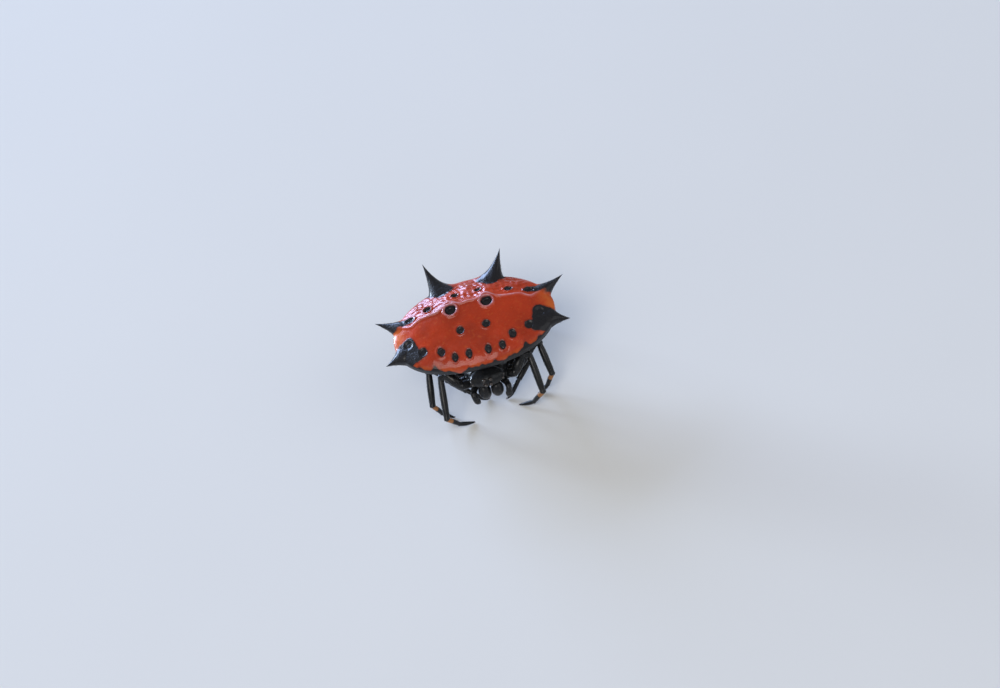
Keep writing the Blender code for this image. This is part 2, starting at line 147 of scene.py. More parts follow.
# Painted highlight: its band's width on the crease, its ring round a pit, and the pit edges with none and
# all of it
GLINT_WIDTH = 0.065
GLINT_RING = (1.36, 0.14)
NO_GLINT_EDGE, FULL_GLINT_EDGE = 0.06, 0.13

# Swellings of the back between the pits for the +X side: x, y, radius and height
SWELLINGS = (
    (0.0, -2.95, 0.42, 0.05),
    (1.15, -3.0, 0.36, 0.06),
    (2.05, -2.75, 0.38, 0.06),
    (3.05, -2.3, 0.42, 0.05),
    (4.1, -1.9, 0.4, 0.04),
    (1.75, -1.5, 0.6, 0.05),
    (0.0, -0.2, 0.7, 0.04),
    (2.4, -0.2, 0.9, 0.05),
    (3.7, 0.1, 0.6, 0.05),
    (1.85, 1.75, 0.45, 0.08),
    (0.0, 2.3, 0.5, 0.06),
    (3.4, 1.75, 0.4, 0.06),
)

# Spines for the +X side: base inside the shield, tip, radius, foot's radius, the foot's stretch towards
# the middle and away from it
SPINES = {
    "rear": (Vector((1.86, 2.82, 0.16)), Vector((2.65, 4.87, 1.08)), 0.34, 0.8, 2.0, 0.85),
    "side_rear": (Vector((4.92, 1.08, 0.1)), Vector((6.5, 1.93, 0.26)), 0.29, 0.68, 1.0, 1.0),
    "side_front": (Vector((5.0, -1.07, 0.0)), Vector((6.34, -1.4, -0.1)), 0.3, 0.66, 1.0, 1.0),
}
REAR_LEAN = Vector((0.16, -0.18, 0.0))
SPINE_CURVE = 2.5
SPINE_GATHER = 1.6
SPINE_INK = 0.78

# Black patches of the back for the +X side: x, y and radii
PATCHES = (
    (4.62, -1.28, 0.72, 0.9),
    (4.95, -1.0, 0.5, 0.55),
    (4.05, -1.75, 0.36, 0.34),
    (4.45, -0.62, 0.36, 0.38),
    (1.75, 2.95, 0.98, 0.52),
    (1.7, 2.6, 0.45, 0.36),
    (4.62, 1.12, 0.72, 0.24),
)
PATCH_BLEND = 14.0
PIT_INK = 1.14

# The front body
HEAD_FRONT_Y = -3.72
BODY_REAR_Y = -0.75
HEAD_HALF_WIDTH = 1.22
THORAX_HALF_WIDTH = 1.5
HEAD_TOP = 3.9
THORAX_TOP = 3.3
FACE_BOTTOM = 2.86
BELLY_PLATE = 1.95
FACE_BLUNTNESS = 3.2
REAR_BLUNTNESS = 2.0
BODY_FLATNESS = 0.85
WIDEST_LEVEL = 0.45
WIDTH_CHANGE = (-2.92, 1.1)
TOP_CHANGE = (-2.82, 1.5)
BELLY_CHANGE = (-3.0, 0.5)
BODY_CUTS = 95

# Relief of the front body: x, y (or z) and radii of each rise or hollow, and all their heights
HEAD_MOUND = (0.0, HEAD_FRONT_Y + 0.3, 0.42, 0.36)
EYE_CORNER = (1.02, HEAD_FRONT_Y + 0.42, 0.22, 0.28)
THORAX_HOLLOW = (0.0, -1.72, 0.3, 0.13)
FACE_MOUND = (0.0, 3.57, 0.4, 0.36)
MOUND_HEIGHT = 0.13
CORNER_HEIGHT = 0.09
HOLLOW_DEPTH = 0.1
FACE_RISE = 0.075
GROOVE_DEPTH = 0.11
FURROW_DEPTH = 0.05
PLATE_RELIEF = 0.05
BROW_DEPTH = 0.03
SOCKET_DEPTH = 0.035
SOCKET_RIM = 0.025

# The stalk between the front body and the abdomen
STALK_FOOT = Vector((0.0, -1.3, 2.8))
STALK_TOP = Vector((0.0, -1.12, 4.05))

# Eyes for the +X side: place and radius
EYES = (
    (0.17, HEAD_FRONT_Y - 0.08, 3.42, 0.125),
    (0.21, HEAD_FRONT_Y + 0.08, 3.73, 0.12),
    (1.02, HEAD_FRONT_Y + 0.3, 3.32, 0.105),
    (1.08, HEAD_FRONT_Y + 0.47, 3.46, 0.1),
)

# Jaws, fangs and feelers for the +X side
JAW_CENTRE = Vector((0.43, -3.36, 2.4))
JAW_RADII = Vector((0.42, 0.42, 0.62))
FANG_PATH = (
    Vector((0.48, -3.4, 1.96)),
    Vector((0.44, -3.46, 1.8)),
    Vector((0.3, -3.42, 1.69)),
    Vector((0.14, -3.3, 1.66)),
)
FANG_RADII = (0.15, 0.12, 0.075, 0.012)
PALP = (
    Vector((0.9, -2.86, 2.5)),
    Vector((1.14, -3.2, 2.46)),
    Vector((1.2, -3.56, 2.44)),
    Vector((1.14, -3.73, 2.1)),
    Vector((0.98, -3.68, 1.66)),
)
PALP_RADII = ((0.2, 0.22, 0.19), (0.18, 0.21, 0.18), (0.17, 0.2, 0.17), (0.17, 0.21, 0.08))

# Hips for the +X side, from the breast plate to the outer end of each
HIPS = (
    (Vector((0.6, -2.3, 2.35)), Vector((1.3, -2.54, 2.54))),
    (Vector((0.65, -1.8, 2.25)), Vector((1.4, -1.9, 2.2))),
    (Vector((0.65, -1.45, 2.2)), Vector((1.38, -1.22, 2.06))),
    (Vector((0.5, -1.25, 2.25)), Vector((1.0, -0.72, 2.25))),
)
HIP_RADIUS = 0.37
RING_START = 0.02
RING_END = 0.62

# Leg joints beyond the hip's ring for the +X side: knee, knee's end, shin's end, foot's joint and tip
LEGS = (
    ((2.56, -2.0, 3.4), (3.03, -1.97, 3.2), (3.26, -3.9, 1.35), (2.45, -3.72, 0.42), (1.5, -3.4, 0.08)),
    ((3.66, -0.64, 2.98), (3.8, -1.06, 2.88), (4.1, -2.6, 1.35), (3.6, -2.62, 0.45), (2.92, -2.82, 0.08)),
    ((2.88, -0.72, 1.82), (2.78, -1.15, 1.6), (1.85, -1.95, 1.0), (1.25, -2.4, 0.45), (0.76, -2.58, 0.08)),
    ((2.9, 1.2, 3.05), (3.1, 1.7, 2.8), (2.95, 3.1, 1.15), (2.6, 3.65, 0.45), (2.15, 4.1, 0.08)),
)
# How far each joint on the -X side stands from the other side's mirror image, and each pair's share of it
LEFT_SHIFT = (
    Vector((0.05, -0.05, 0.0)),
    Vector((0.05, -0.05, 0.0)),
    Vector((0.1, -0.2, 0.0)),
    Vector((0.25, -0.25, 0.0)),
    Vector((0.3, -0.45, 0.0)),
)
LEFT_SHARE = (1.0, 0.4, -0.8, 0.4)
# Radii of each length of a leg at its start, middle and end, and how far it bows outwards
LENGTHS = {
    "ring": (0.26, 0.31, 0.26, 0.0),
    "thigh": (0.23, 0.35, 0.26, 0.05),
    "knee": (0.22, 0.26, 0.23, 0.0),
    "shin": (0.18, 0.235, 0.19, 0.03),
    "long_foot": (0.14, 0.165, 0.14, 0.03),
    "foot": (0.12, 0.135, 0.06, -0.03),
}
LENGTH_SIDES = 20
LENGTH_RINGS = 20
LENGTH_FLARE = 0.12
ROUNDING_STEPS = 5
START_ROUNDING = 0.75
END_ROUNDING = 0.6
# The length of the pale band at the start of each pair's long foot
BAND_LENGTHS = (0.42, 0.4, 0.0, 0.4)

# The least distance in metres between two points where the shapes of a piece meet
SLIVER = 2e-7

# Claws: places ahead of a foot's tip and above it, how far the two stand apart there, and radii
CLAW_PATH = ((-0.03, 0.0), (0.04, 0.012), (0.09, -0.005), (0.115, -0.055))
CLAW_APART = (0.02, 0.03, 0.038, 0.042)
CLAW_RADII = (0.03, 0.026, 0.017, 0.004)

# Bristles: the root's radius of one a millimetre long, their sides, rings, bend and patch in the unwrap,
# and how many are made at once
BRISTLE_RADIUS = 0.022
BRISTLE_SIDES = 3
BRISTLE_CUTS = 2
BRISTLE_BEND = 0.22
PATCH_SIZE = 0.003
TUFT = 60


class ShieldSettings(PropertyGroup):
    """Sizes and colours of the abdomen."""

    crest: FloatProperty(
        name="Crest", description="Height of the crease that runs along the ridge",
        default=0.085 * MM, min=0.0, subtype="DISTANCE", unit="LENGTH", precision=6,
    )
    relief: FloatProperty(
        name="Relief", description="Share of the full depth that the pits and swellings have",
        default=1.0, min=0.0, max=2.0, subtype="FACTOR",
    )
    red: FloatVectorProperty(
        name="Red", description="Colour of the back",
        subtype="COLOR", default=(0.44, 0.036, 0.006), **PARTS,
    )
    orange: FloatVectorProperty(
        name="Orange", description="Colour of the side margins",
        subtype="COLOR", default=(0.62, 0.13, 0.02), **PARTS,
    )
    # Colour of a painted highlight: a pale line along the crease and rings round the big pits, in place of
    # light glinting there
    glint_colour: FloatVectorProperty(
        name="Crest glint colour", description="Colour of the painted highlight along the crease on the ridge and round the big pits",
        subtype="COLOR", default=(0.72, 0.44, 0.5), **PARTS,
    )
    ink: FloatVectorProperty(
        name="Black", description="Colour of the pits, patches, spines and underside",
        subtype="COLOR", default=(0.006, 0.0058, 0.0075), **PARTS,
    )
    belly_spots: FloatVectorProperty(
        name="Belly spots", description="Colour of the spots of the underside",
        subtype="COLOR", default=(0.3, 0.13, 0.02), **PARTS,
    )


class LimbSettings(PropertyGroup):
    """Sizes and colours of the front body, legs and bristles."""

    thickness: FloatProperty(
        name="Thickness", description="Share of their natural thickness that the legs have",
        default=1.0, min=0.5, max=1.5, subtype="FACTOR",
    )
    shell: FloatVectorProperty(
        name="Shell", description="Colour of the front body and legs",
        subtype="COLOR", default=(0.0065, 0.007, 0.008), **PARTS,
    )
    band: FloatVectorProperty(
        name="Bands", description="Colour of the band at the start of each long foot",
        subtype="COLOR", default=(0.36, 0.15, 0.045), **PARTS,
    )
    bristle_length: FloatProperty(
        name="Bristle length", description="Length of the longest bristles",
        default=0.17 * MM, min=0.0, subtype="DISTANCE", unit="LENGTH", precision=6,
    )
    bristles: IntProperty(
        name="Bristles", description="Bristles on each millimetre of a leg",
        default=44, min=0, max=90,
    )
    bristle: FloatVectorProperty(
        name="Bristle colour", description="Colour of the bristles",
        subtype="COLOR", default=(0.11, 0.095, 0.085), **PARTS,
    )


class StudioSettings(PropertyGroup):
    """The floor, the lights and the camera."""

    floor: FloatVectorProperty(
        name="Floor", description="Colour of the floor",
        subtype="COLOR", default=(0.72, 0.71, 0.68), **PARTS,
    )
    key: FloatProperty(
        name="Key light", description="Power of the large light in front",
        default=0.67, min=0.0, unit="POWER", precision=3,
    )
    sky: FloatProperty(
        name="Back light", description="Power of the cool light behind",
        default=0.66, min=0.0, unit="POWER", precision=3,
    )
    lens: FloatProperty(
        name="Lens", description="Focal length in millimetres",
        default=190.0, min=20.0, unit="CAMERA",
    )


def to_piece(name, mesh_data, material):
    """Writes a bmesh in millimetres to a new smooth object in metres, at the origin."""
    bmesh.ops.scale(mesh_data, vec=(MM, MM, MM), verts=mesh_data.verts)
    mesh = bpy.data.meshes.new(name)
    mesh_data.to_mesh(mesh)
    mesh_data.free()
    mesh.shade_smooth()
    mesh.materials.append(material)
    piece = bpy.data.objects.new(name, mesh)
    bpy.context.scene.collection.objects.link(piece)
    return piece


def add_values(piece, name, values):
    """Stores one number for each point of a piece, for its material to read."""
    layer = piece.data.attributes.new(name, "FLOAT", "POINT")
    layer.data.foreach_set("value", np.asarray(values, np.float32))


def quad_ball(cuts):
    """A unit ball of even quads, made from a cube."""
    ball = bmesh.new()
    bmesh.ops.create_cube(ball, size=2.0)
    bmesh.ops.subdivide_edges(ball, edges=ball.edges, cuts=cuts, use_grid_fill=True)
    for vert in ball.verts:
        vert.co = Vector(math.tan(part * math.pi / 4.0) for part in vert.co).normalized()
    return ball


def only(items, kind):
    """The items of one kind, such as the points among what an operator gives back."""
    return [item for item in items if isinstance(item, kind)]


def get_points(mesh_data):
    return np.array([vert.co for vert in mesh_data.verts])


def set_points(mesh_data, points):
    for vert, point in zip(mesh_data.verts, points):
        vert.co = point


def smooth_step(values, low, high):
    """Rises smoothly from 0 to 1 between two values."""
    share = np.clip((values - low) / (high - low), 0.0, 1.0)
    return share * share * (3.0 - 2.0 * share)


def peak(values, place, width):
    """A smooth hill of height 1 along one measure."""
    return np.exp(-(((values - place) / width) ** 2))


def bump(x, y, centre_x, centre_y, radius_x, radius_y):
    """A smooth hill of height 1 in two measures."""
    return np.exp(-(((x - centre_x) / radius_x) ** 2) - ((y - centre_y) / radius_y) ** 2)


def away_from(x, y, place_x, place_y, radius_x, radius_y):
    """Distance from the middle of an oval and of its mirror image, as a share of its radii."""
    return np.hypot((np.abs(x) - place_x) / radius_x, (y - place_y) / radius_y)


def mirrored(place, side):
    """A place for the +X side, taken to either side."""
    return Vector((side * place[0], place[1], place[2]))


def spine_ends(name, side):
    """A spine's base inside the shield and its tip, in the shield's frame."""
    base, tip = SPINES[name][:2]
    lean = Vector((REAR_LEAN.x, REAR_LEAN.y * side, 0.0)) if name == "rear" else Vector()
    return mirrored(base, side), mirrored(tip, side) + lean


def shield_to_world(points):
    """From the shield's frame to the world's, in millimetres."""
    turn = np.array(Matrix.Rotation(SHIELD_TILT, 3, "X"))
    return points @ turn.T + np.array(SHIELD_CENTRE)


def stance():
    """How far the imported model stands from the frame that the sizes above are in."""
    packed = max((vert.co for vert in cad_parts["abdomen"].data.vertices), key=lambda place: place.x)
    tip = shield_to_world(np.array([SPINES["side_rear"][1]]))[0]
    return packed / MM - Vector(tip)


STANCE = stance()


def outline_radius(x, y):
    """How far the shield's rim is from its centre in each direction."""
    reach = np.maximum(np.hypot(x, y), 1e-9)
    depth = np.where(y < 0, FRONT, REAR)
    power = np.where(y < 0, FRONT_SQUARENESS, REAR_SQUARENESS)
    across = (np.abs(x) / reach / HALF_WIDTH) ** power
    along = (np.abs(y) / reach / depth) ** power
    return (across + along) ** (-1.0 / power)


def ridge_line(x):
    """The ridge's place along Y."""
    line = np.full_like(x, RIDGE_Y)
    for place, width, shift in RIDGE_WAVES:
        line += shift * peak(np.abs(x), place, width)
    return line


def back_height(x, y):
    """Height of the back over the rim's plane, before the rim is rounded."""
    ridge = ridge_line(x)
    ahead = FRONT_FALL * np.clip((ridge - y) / (ridge + FRONT), 0.0, 1.0) ** FRONT_CURVE
    behind = REAR_FALL * np.clip((y - ridge) / (REAR - ridge), 0.0, 1.0) ** REAR_CURVE
    across = np.clip(1.0 - (x / HALF_WIDTH) ** 2, 0.0, 1.0) ** ACROSS_CURVE
    return RIM_HEIGHT + (RIDGE_HEIGHT - RIM_HEIGHT) * (1.0 - ahead - behind) * across


def belly_depth(x, y):
    """Depth of the underside below the rim's plane, with the ring at the cone's end."""
    away = np.hypot(x, y - CONE_Y)
    cone = BELLY_RIM + BELLY_DEPTH * peak(away, 0.0, BELLY_SPREAD)
    ring = RING_HEIGHT * np.exp(-(((away - RING_RADIUS) / RING_WIDTH) ** 4))
    hollow = RING_HOLLOW * smooth_step(RING_RADIUS - away, -0.02, 0.16)
    around = np.arctan2(x, y - CONE_Y)
    folds = FOLD_DEPTH * np.cos(FOLDS * around) * smooth_step(away, *FOLD_START)
    return cone + ring - hollow + folds * smooth_step(FOLD_END - away, 0.0, FOLD_FADE)


def pit_relief(x, y):
    """Height that the pits, their raised edges and the swellings give the back."""
    relief = np.zeros_like(x)
    for *oval, depth, edge in PITS:
        away = away_from(x, y, *oval)
        relief -= depth * (1.0 - smooth_step(away, *PIT_WALL))
        relief += edge * peak(away, *PIT_RIM)
        relief += KNOB_HEIGHT * depth * np.clip(1.0 - (away / KNOB_RADIUS) ** 2, 0.0, 1.0)
    for place_x, place_y, radius, height in SWELLINGS:
        relief += height * bump(np.abs(x), y, place_x, place_y, radius, radius)
    return relief


def rear_creases(x, y):
    """Height that the shallow creases and fine wrinkles give the slope behind the ridge."""
    behind = smooth_step(y - ridge_line(x), 0.05, 0.35) * smooth_step(REAR - y, 0.1, 0.6)
    waves = np.sin(7.5 * y + 1.6 * np.sin(1.9 * x)) + 0.7 * np.sin(5.3 * np.abs(x) + 3.1 * y + 0.8)
    waves += 0.5 * np.sin(12.0 * np.abs(x) - 5.0 * y)
    wrinkles = np.sin(19.0 * y + 2.2 * np.sin(4.1 * x)) + np.sin(17.0 * x + 6.0 * y + 1.5 * np.sin(5.0 * y))
    return (CREASE_DEPTH * waves + WRINKLE_DEPTH * wrinkles) * behind


def ink_on_back(x, y):
    """Distance to the edge of the black pits and patches, below zero inside."""
    total = np.zeros_like(x)
    ovals = [(*pit[:2], pit[2] * PIT_INK, pit[3] * PIT_INK) for pit in PITS] + list(PATCHES)
    for oval in ovals:
        gap = (away_from(x, y, *oval) - 1.0) * min(oval[2:])
        total += np.exp(np.clip(-PATCH_BLEND * gap, -60.0, 60.0))
    return -np.log(np.maximum(total, 1e-20)) / PATCH_BLEND


def margin_level(x, y):
    """Height on the rim below which the underside's black begins."""
    rise = MARGIN_RISE - sum(height * peak(x, place, width) for place, width, height in MARGIN_LOBES)
    scallops = 0.045 * np.cos(6.0 * np.abs(x) + 0.8) + 0.025 * np.cos(14.0 * x)
    return MARGIN_LEVEL + smooth_step(-y, 0.8, 2.2) * rise + scallops


def grow_spine(points, base, tip, radius, foot, inner, outer):
    """Draws the points round a spine's base out along it. Also gives how far each is from its axis."""
    base, tip = np.array(base), np.array(tip)
    axis = (tip - base) / np.linalg.norm(tip - base)
    middle = np.array((-math.copysign(1.0, base[0]), 0.0, 0.0))
    middle -= axis * (middle @ axis)
    middle /= np.linalg.norm(middle)
    up = np.cross(axis, middle)
    offset = points - base
    along = offset @ axis
    sideways, upward = offset @ middle, offset @ up
    on_axis = (np.hypot(sideways, upward) < 0.12) & (along > 0.0)
    leaves = along[on_axis].max()
    length = np.linalg.norm(tip - base) - leaves
    stretch = np.where(sideways > 0.0, inner, outer)
    sunk = 0.75 * (along - leaves)
    away = np.sqrt((sideways / stretch) ** 2 + upward ** 2 + sunk ** 2) / foot
    gathered = np.clip(away, 0.0, 1.0) ** SPINE_GATHER
    kept = gathered ** 1.5
    across = np.maximum(np.hypot(sideways / stretch, upward), 1e-9)
    thick = SPINE_CURVE * radius * gathered
    new_side = sideways / stretch / across * thick * (1.0 - kept) + sideways * kept
    new_up = upward / across * thick * (1.0 - kept) + upward * kept
    new_along = leaves * (1.0 - kept) + along * kept + length * (1.0 - gathered) ** SPINE_CURVE
    moved = base + np.outer(new_along, axis) + np.outer(new_side, middle) + np.outer(new_up, up)
    inside = (away < 1.0)[:, None]
    return np.where(inside, moved, points), away


def shield_points(directions, settings):
    """Moulds a ball's points to the abdomen. Gives them with the values that its material reads."""
    flat = np.maximum(np.hypot(directions[:, 0], directions[:, 1]), 1e-9)
    scale = outline_radius(directions[:, 0], directions[:, 1])
    x, y = directions[:, 0] * scale, directions[:, 1] * scale
    rounding = np.abs(directions[:, 2]) ** RIM_ROUNDING
    above = directions[:, 2] > 0.0
    ridge = ridge_line(x)
    crest = settings.crest / MM * peak(y, ridge, CREST_WIDTH)
    crest *= smooth_step(HALF_WIDTH - np.abs(x), 0.2, 1.2)
    creases = rear_creases(x, y) * settings.relief
    fade = smooth_step(directions[:, 2], 0.08, 0.35)
    top = back_height(x, y) * rounding + (pit_relief(x, y) * settings.relief + crest + creases) * fade
    z = np.where(above, top, -belly_depth(x, y) * rounding)
    points = np.stack((x, y, z), axis=1)
    ink = np.where(above, ink_on_back(x, y), 1.0)
    ink = np.minimum(ink, z - margin_level(x, y))
    for name, (*_, radius, foot, inner, outer) in SPINES.items():
        for side in SIDES:
            points, away = grow_spine(points, *spine_ends(name, side), radius, foot, inner, outer)
            ink = np.minimum(ink, (away - SPINE_INK) * foot)
    margin = smooth_step(np.abs(x), 4.2, 5.4)
    margin += smooth_step(flat, 0.93, 1.0) * smooth_step(-y, 0.0, 2.0) * 0.6
    under = smooth_step(-directions[:, 2], 0.05, 0.3)
    # Painted highlight: a pale band just behind the ridge line and pale rings round the pits with high
    # raised edges, standing in for glints of light
    painted_glint = peak(y - ridge - 0.02, 0.0, GLINT_WIDTH) * smooth_step(HALF_WIDTH - np.abs(x), 0.4, 1.4)
    for *oval, _, edge in PITS:
        polish = 0.8 * smooth_step(edge, NO_GLINT_EDGE, FULL_GLINT_EDGE)
        painted_glint += polish * peak(away_from(x, y, *oval), *GLINT_RING)
    painted_glint = np.clip(painted_glint, 0.0, 1.0) * fade
    return points, {"ink": ink, "margin": np.clip(margin, 0.0, 1.0), "under": under, "painted_glint": painted_glint}


def change(y, before, after, place):
    """Goes smoothly from one value to another along Y."""
    start, length = place
    return before + (after - before) * smooth_step(y, start, start + length)


def front_body_points(directions):
    """Moulds a ball's points to the head, thorax and breast plate."""
    y = (HEAD_FRONT_Y + BODY_REAR_Y) / 2.0 + (BODY_REAR_Y - HEAD_FRONT_Y) / 2.0 * directions[:, 1]
    width = change(y, HEAD_HALF_WIDTH, THORAX_HALF_WIDTH, WIDTH_CHANGE)
    top = change(y, HEAD_TOP, THORAX_TOP, TOP_CHANGE)
    bottom = change(y, FACE_BOTTOM, BELLY_PLATE, BELLY_CHANGE)
    level = bottom + (top - bottom) * WIDEST_LEVEL
    bluntness = np.where(directions[:, 1] < 0.0, FACE_BLUNTNESS, REAR_BLUNTNESS)
    end = np.clip(1.0 - np.abs(directions[:, 1]) ** bluntness, 0.0, 1.0) ** (1.0 / bluntness)
    around = np.maximum(np.hypot(directions[:, 0], directions[:, 2]), 1e-9)
    across, up = directions[:, 0] / around, directions[:, 2] / around
    x = width * end * np.sign(across) * np.abs(across) ** BODY_FLATNESS
    height = np.where(up > 0.0, top - level, level - bottom)
    z = level + height * end * np.sign(up) * np.abs(up) ** BODY_FLATNESS
    aside = np.abs(x)
    groove = peak(y + 2.15 + 0.55 * aside, 0.0, 0.13)
    furrows = peak(aside - 0.5 - 0.5 * (y + 1.8), 0.0, 0.12) * smooth_step(y, -1.9, -1.5)
    plate = 0.72 - 0.45 * smooth_step(y, -2.4, -1.0)
    inside = smooth_step(-y, 0.95, 1.2) * smooth_step(y, -2.75, -2.55)
    rising = MOUND_HEIGHT * bump(x, y, *HEAD_MOUND) - GROOVE_DEPTH * groove - FURROW_DEPTH * furrows
    relief = smooth_step(up, 0.05, 0.5) * (rising - HOLLOW_DEPTH * bump(x, y, *THORAX_HOLLOW))
    relief += CORNER_HEIGHT * bump(aside, y, *EYE_CORNER) * smooth_step(up, -0.4, 0.3)
    edge = inside * (smooth_step(plate - aside, 0.0, 0.12) - peak(aside, plate, 0.07))
    relief += PLATE_RELIEF * smooth_step(-up, 0.3, 0.8) * edge
    brow = BROW_DEPTH * peak(z, 3.12, 0.07) * smooth_step(1.15 - aside, 0.0, 0.3)
    forward = smooth_step(-directions[:, 1], 0.55, 0.95) * (FACE_RISE * bump(x, z, *FACE_MOUND) - brow)
    points = np.stack((x + relief * across, y - forward, z + relief * up), axis=1)
    mirror = np.ones_like(points)
    mirror[:, 0] = np.where(points[:, 0] < 0.0, -1.0, 1.0)
    rings = np.zeros(len(points))
    for *place, radius in EYES:
        gap = np.linalg.norm(points - np.array(place) * mirror, axis=1)
        rings += SOCKET_RIM * peak(gap, 1.5 * radius, 0.05)
        rings -= SOCKET_DEPTH * peak(gap, 1.08 * radius, 0.035)
    return points + directions * rings[:, None]


def turned(profile, sides):
    """Turns a profile of (radius, height) about Z into a closed shape. It starts and ends on the axis."""
    shape = bmesh.new()
    verts = [shape.verts.new((radius, 0.0, height)) for radius, height in profile]
    edges = [shape.edges.new(pair) for pair in zip(verts, verts[1:])]
    bmesh.ops.spin(
        shape, geom=verts + edges, cent=(0.0, 0.0, 0.0), axis=(0.0, 0.0, 1.0), angle=math.tau, steps=sides,
        use_merge=True,
    )
    bmesh.ops.remove_doubles(shape, verts=shape.verts, dist=1e-5)
    bmesh.ops.recalc_face_normals(shape, faces=shape.faces)
    return shape


def aim(shape, base, tip):
    """Turns a shape's +Z towards tip and sets its origin on base."""
    turn = (tip - base).to_track_quat("Z", "Y").to_matrix().to_4x4()
    bmesh.ops.transform(shape, matrix=Matrix.Translation(base) @ turn, verts=shape.verts)
    return shape


def join(shapes):
    """Gathers several shapes in one."""
    whole = shapes[0]
    for shape in shapes[1:]:
        mesh = bpy.data.meshes.new("part")
        shape.to_mesh(mesh)
        shape.free()
        whole.from_mesh(mesh)
        bpy.data.meshes.remove(mesh)
    return whole


def length_profile(length, radii):
    """Profile of one length of a limb: a round start, a swollen middle and a rounded end."""
    first, middle, last = radii
    turns = [step * math.pi / 2.0 / ROUNDING_STEPS for step in range(1, ROUNDING_STEPS)]
    start = START_ROUNDING * first
    profile = [(0.0, -start)]
    profile += [(first * math.sin(turn), -start * math.cos(turn)) for turn in turns]
    for step in range(LENGTH_RINGS + 1):
        share = 0.5 - 0.5 * math.cos(math.pi * step / LENGTH_RINGS)
        swell = math.sin(math.pi * share ** 0.85) ** 0.8
        radius = first + (last - first) * share
        flare = LENGTH_FLARE * last * math.exp(-(((1.0 - share) * length / (0.45 * last)) ** 2))
        profile.append((radius + (middle - (first + last) / 2.0) * swell + flare, share * length))
    lip = profile[-1][0]
    end = END_ROUNDING * last
    profile += [(lip * math.cos(turn), length + end * math.sin(turn)) for turn in turns]
    return profile + [(0.0, length + end)]


def limb_length(start, end, radii, bow):
    """One length of a limb, bowed upwards at its middle."""
    length = (end - start).length
    shape = turned(length_profile(length, radii), LENGTH_SIDES)
    for vert in shape.verts:
        share = min(1.0, max(0.0, vert.co.z / length))
        vert.co.y += bow * math.sin(math.pi * share)
    return aim(shape, start, end)


def close_slivers(mesh):
    """Merges points that lie closer than SLIVER, and removes the folded faces that this leaves."""
    skin = bmesh.new()
    skin.from_mesh(mesh)
    bmesh.ops.triangulate(skin, faces=[face for face in skin.faces if len(face.verts) > 4])
    bmesh.ops.remove_doubles(skin, verts=skin.verts, dist=SLIVER)
    seen = {}
    for face in skin.faces:
        seen.setdefault(frozenset(face.verts), []).append(face)
    folded = [face for faces in seen.values() if len(faces) > 1 for face in faces]
    bmesh.ops.delete(skin, geom=folded, context="FACES")
    skin.to_mesh(mesh)
    skin.free()


def fused(name, shapes, material):
    """Unites shapes that cross each other in one piece."""
    piece, *others = [to_piece(name, shape, material) for shape in shapes]
    tools = bpy.data.collections.new(name + "_tools")
    bpy.context.scene.collection.children.link(tools)
    for other in others:
        bpy.context.scene.collection.objects.unlink(other)
        tools.objects.link(other)
    modifier = piece.modifiers.new("fuse", "BOOLEAN")
    modifier.operation = "UNION"
    modifier.operand_type = "COLLECTION"
    modifier.collection = tools
    modifier.solver = "MANIFOLD"
    graph = bpy.context.evaluated_depsgraph_get()
    made = bpy.data.meshes.new_from_object(piece.evaluated_get(graph))
    piece.modifiers.clear()
    old = piece.data
    piece.data = made
    bpy.data.meshes.remove(old)
    for other in others:
        bpy.data.objects.remove(other)
    bpy.data.collections.remove(tools)
    close_slivers(made)
    made.shade_smooth()
    made.set_sharp_from_angle(angle=math.radians(50.0))
    return piece


def leg_joints(number, side):
    """The joints of one leg, from the hip's end to the foot's tip, in millimetres."""
    root, end = HIPS[number]
    axis = (end - root).normalized()
    joints = [mirrored(end + axis * reach, side) for reach in (RING_START, RING_END)]
    for place, shift in zip(LEGS[number], LEFT_SHIFT):
        uneven = shift * LEFT_SHARE[number] if side < 0 else Vector()
        joints.append(mirrored(Vector(place) + uneven, side))
    return [joint + STANCE for joint in joints]


def every_leg():
    """Each leg's number, the name of its node and its joints."""
    for number in range(len(LEGS)):
        for side in SIDES:
            yield number, f"leg_{number + 1}_{side_word(side)}", leg_joints(number, side)


def limb_shapes(joints, radii, bows):
    """The lengths of a limb, each between two of its joints."""
    return [limb_length(*length) for length in zip(joints, joints[1:], radii, bows)]


def nearest_length(points, joints):
    """For each point, the limb's length that it is on and its distance from that length's start."""
    best = np.full(len(points), np.inf)
    index = np.zeros(len(points), int)
    along = np.zeros(len(points))
    for number, (start, end) in enumerate(zip(joints, joints[1:])):
        start, end = np.array(start), np.array(end)
        axis = (end - start) / np.linalg.norm(end - start)
        reach = np.clip((points - start) @ axis, 0.0, np.linalg.norm(end - start))
        gap = np.linalg.norm(points - start - np.outer(reach, axis), axis=1)
        nearer = gap < best
        best[nearer], index[nearer], along[nearer] = gap[nearer], number, reach[nearer]
    return index, along


def tube(path, radii, sides):
    """A tapering tube along a path, closed at both ends, by drawing out a ring."""
    shape = bmesh.new()
    ring = bmesh.ops.create_circle(shape, cap_ends=True, radius=1.0, segments=sides)["verts"]
    flat = [vert.co.copy() for vert in ring]

    def ring_edges():
        return [edge for edge in shape.edges if edge.verts[0] in ring and edge.verts[1] in ring]

    for number, (place, radius) in enumerate(zip(path, radii)):
        before, after = path[max(0, number - 1)], path[min(len(path) - 1, number + 1)]
        turn = (after - before).to_track_quat("Z", "Y").to_matrix()
        if number:
            drawn = bmesh.ops.extrude_edge_only(shape, edges=ring_edges())
            fresh = only(drawn["geom"], bmesh.types.BMVert)
            ring = [min(fresh, key=lambda vert: (vert.co - old.co).length) for old in ring]
        for vert, spot in zip(ring, flat):
            vert.co = place + turn @ (spot * radius)
    bmesh.ops.edgeloop_fill(shape, edges=ring_edges())
    bmesh.ops.recalc_face_normals(shape, faces=shape.faces)
    return shape


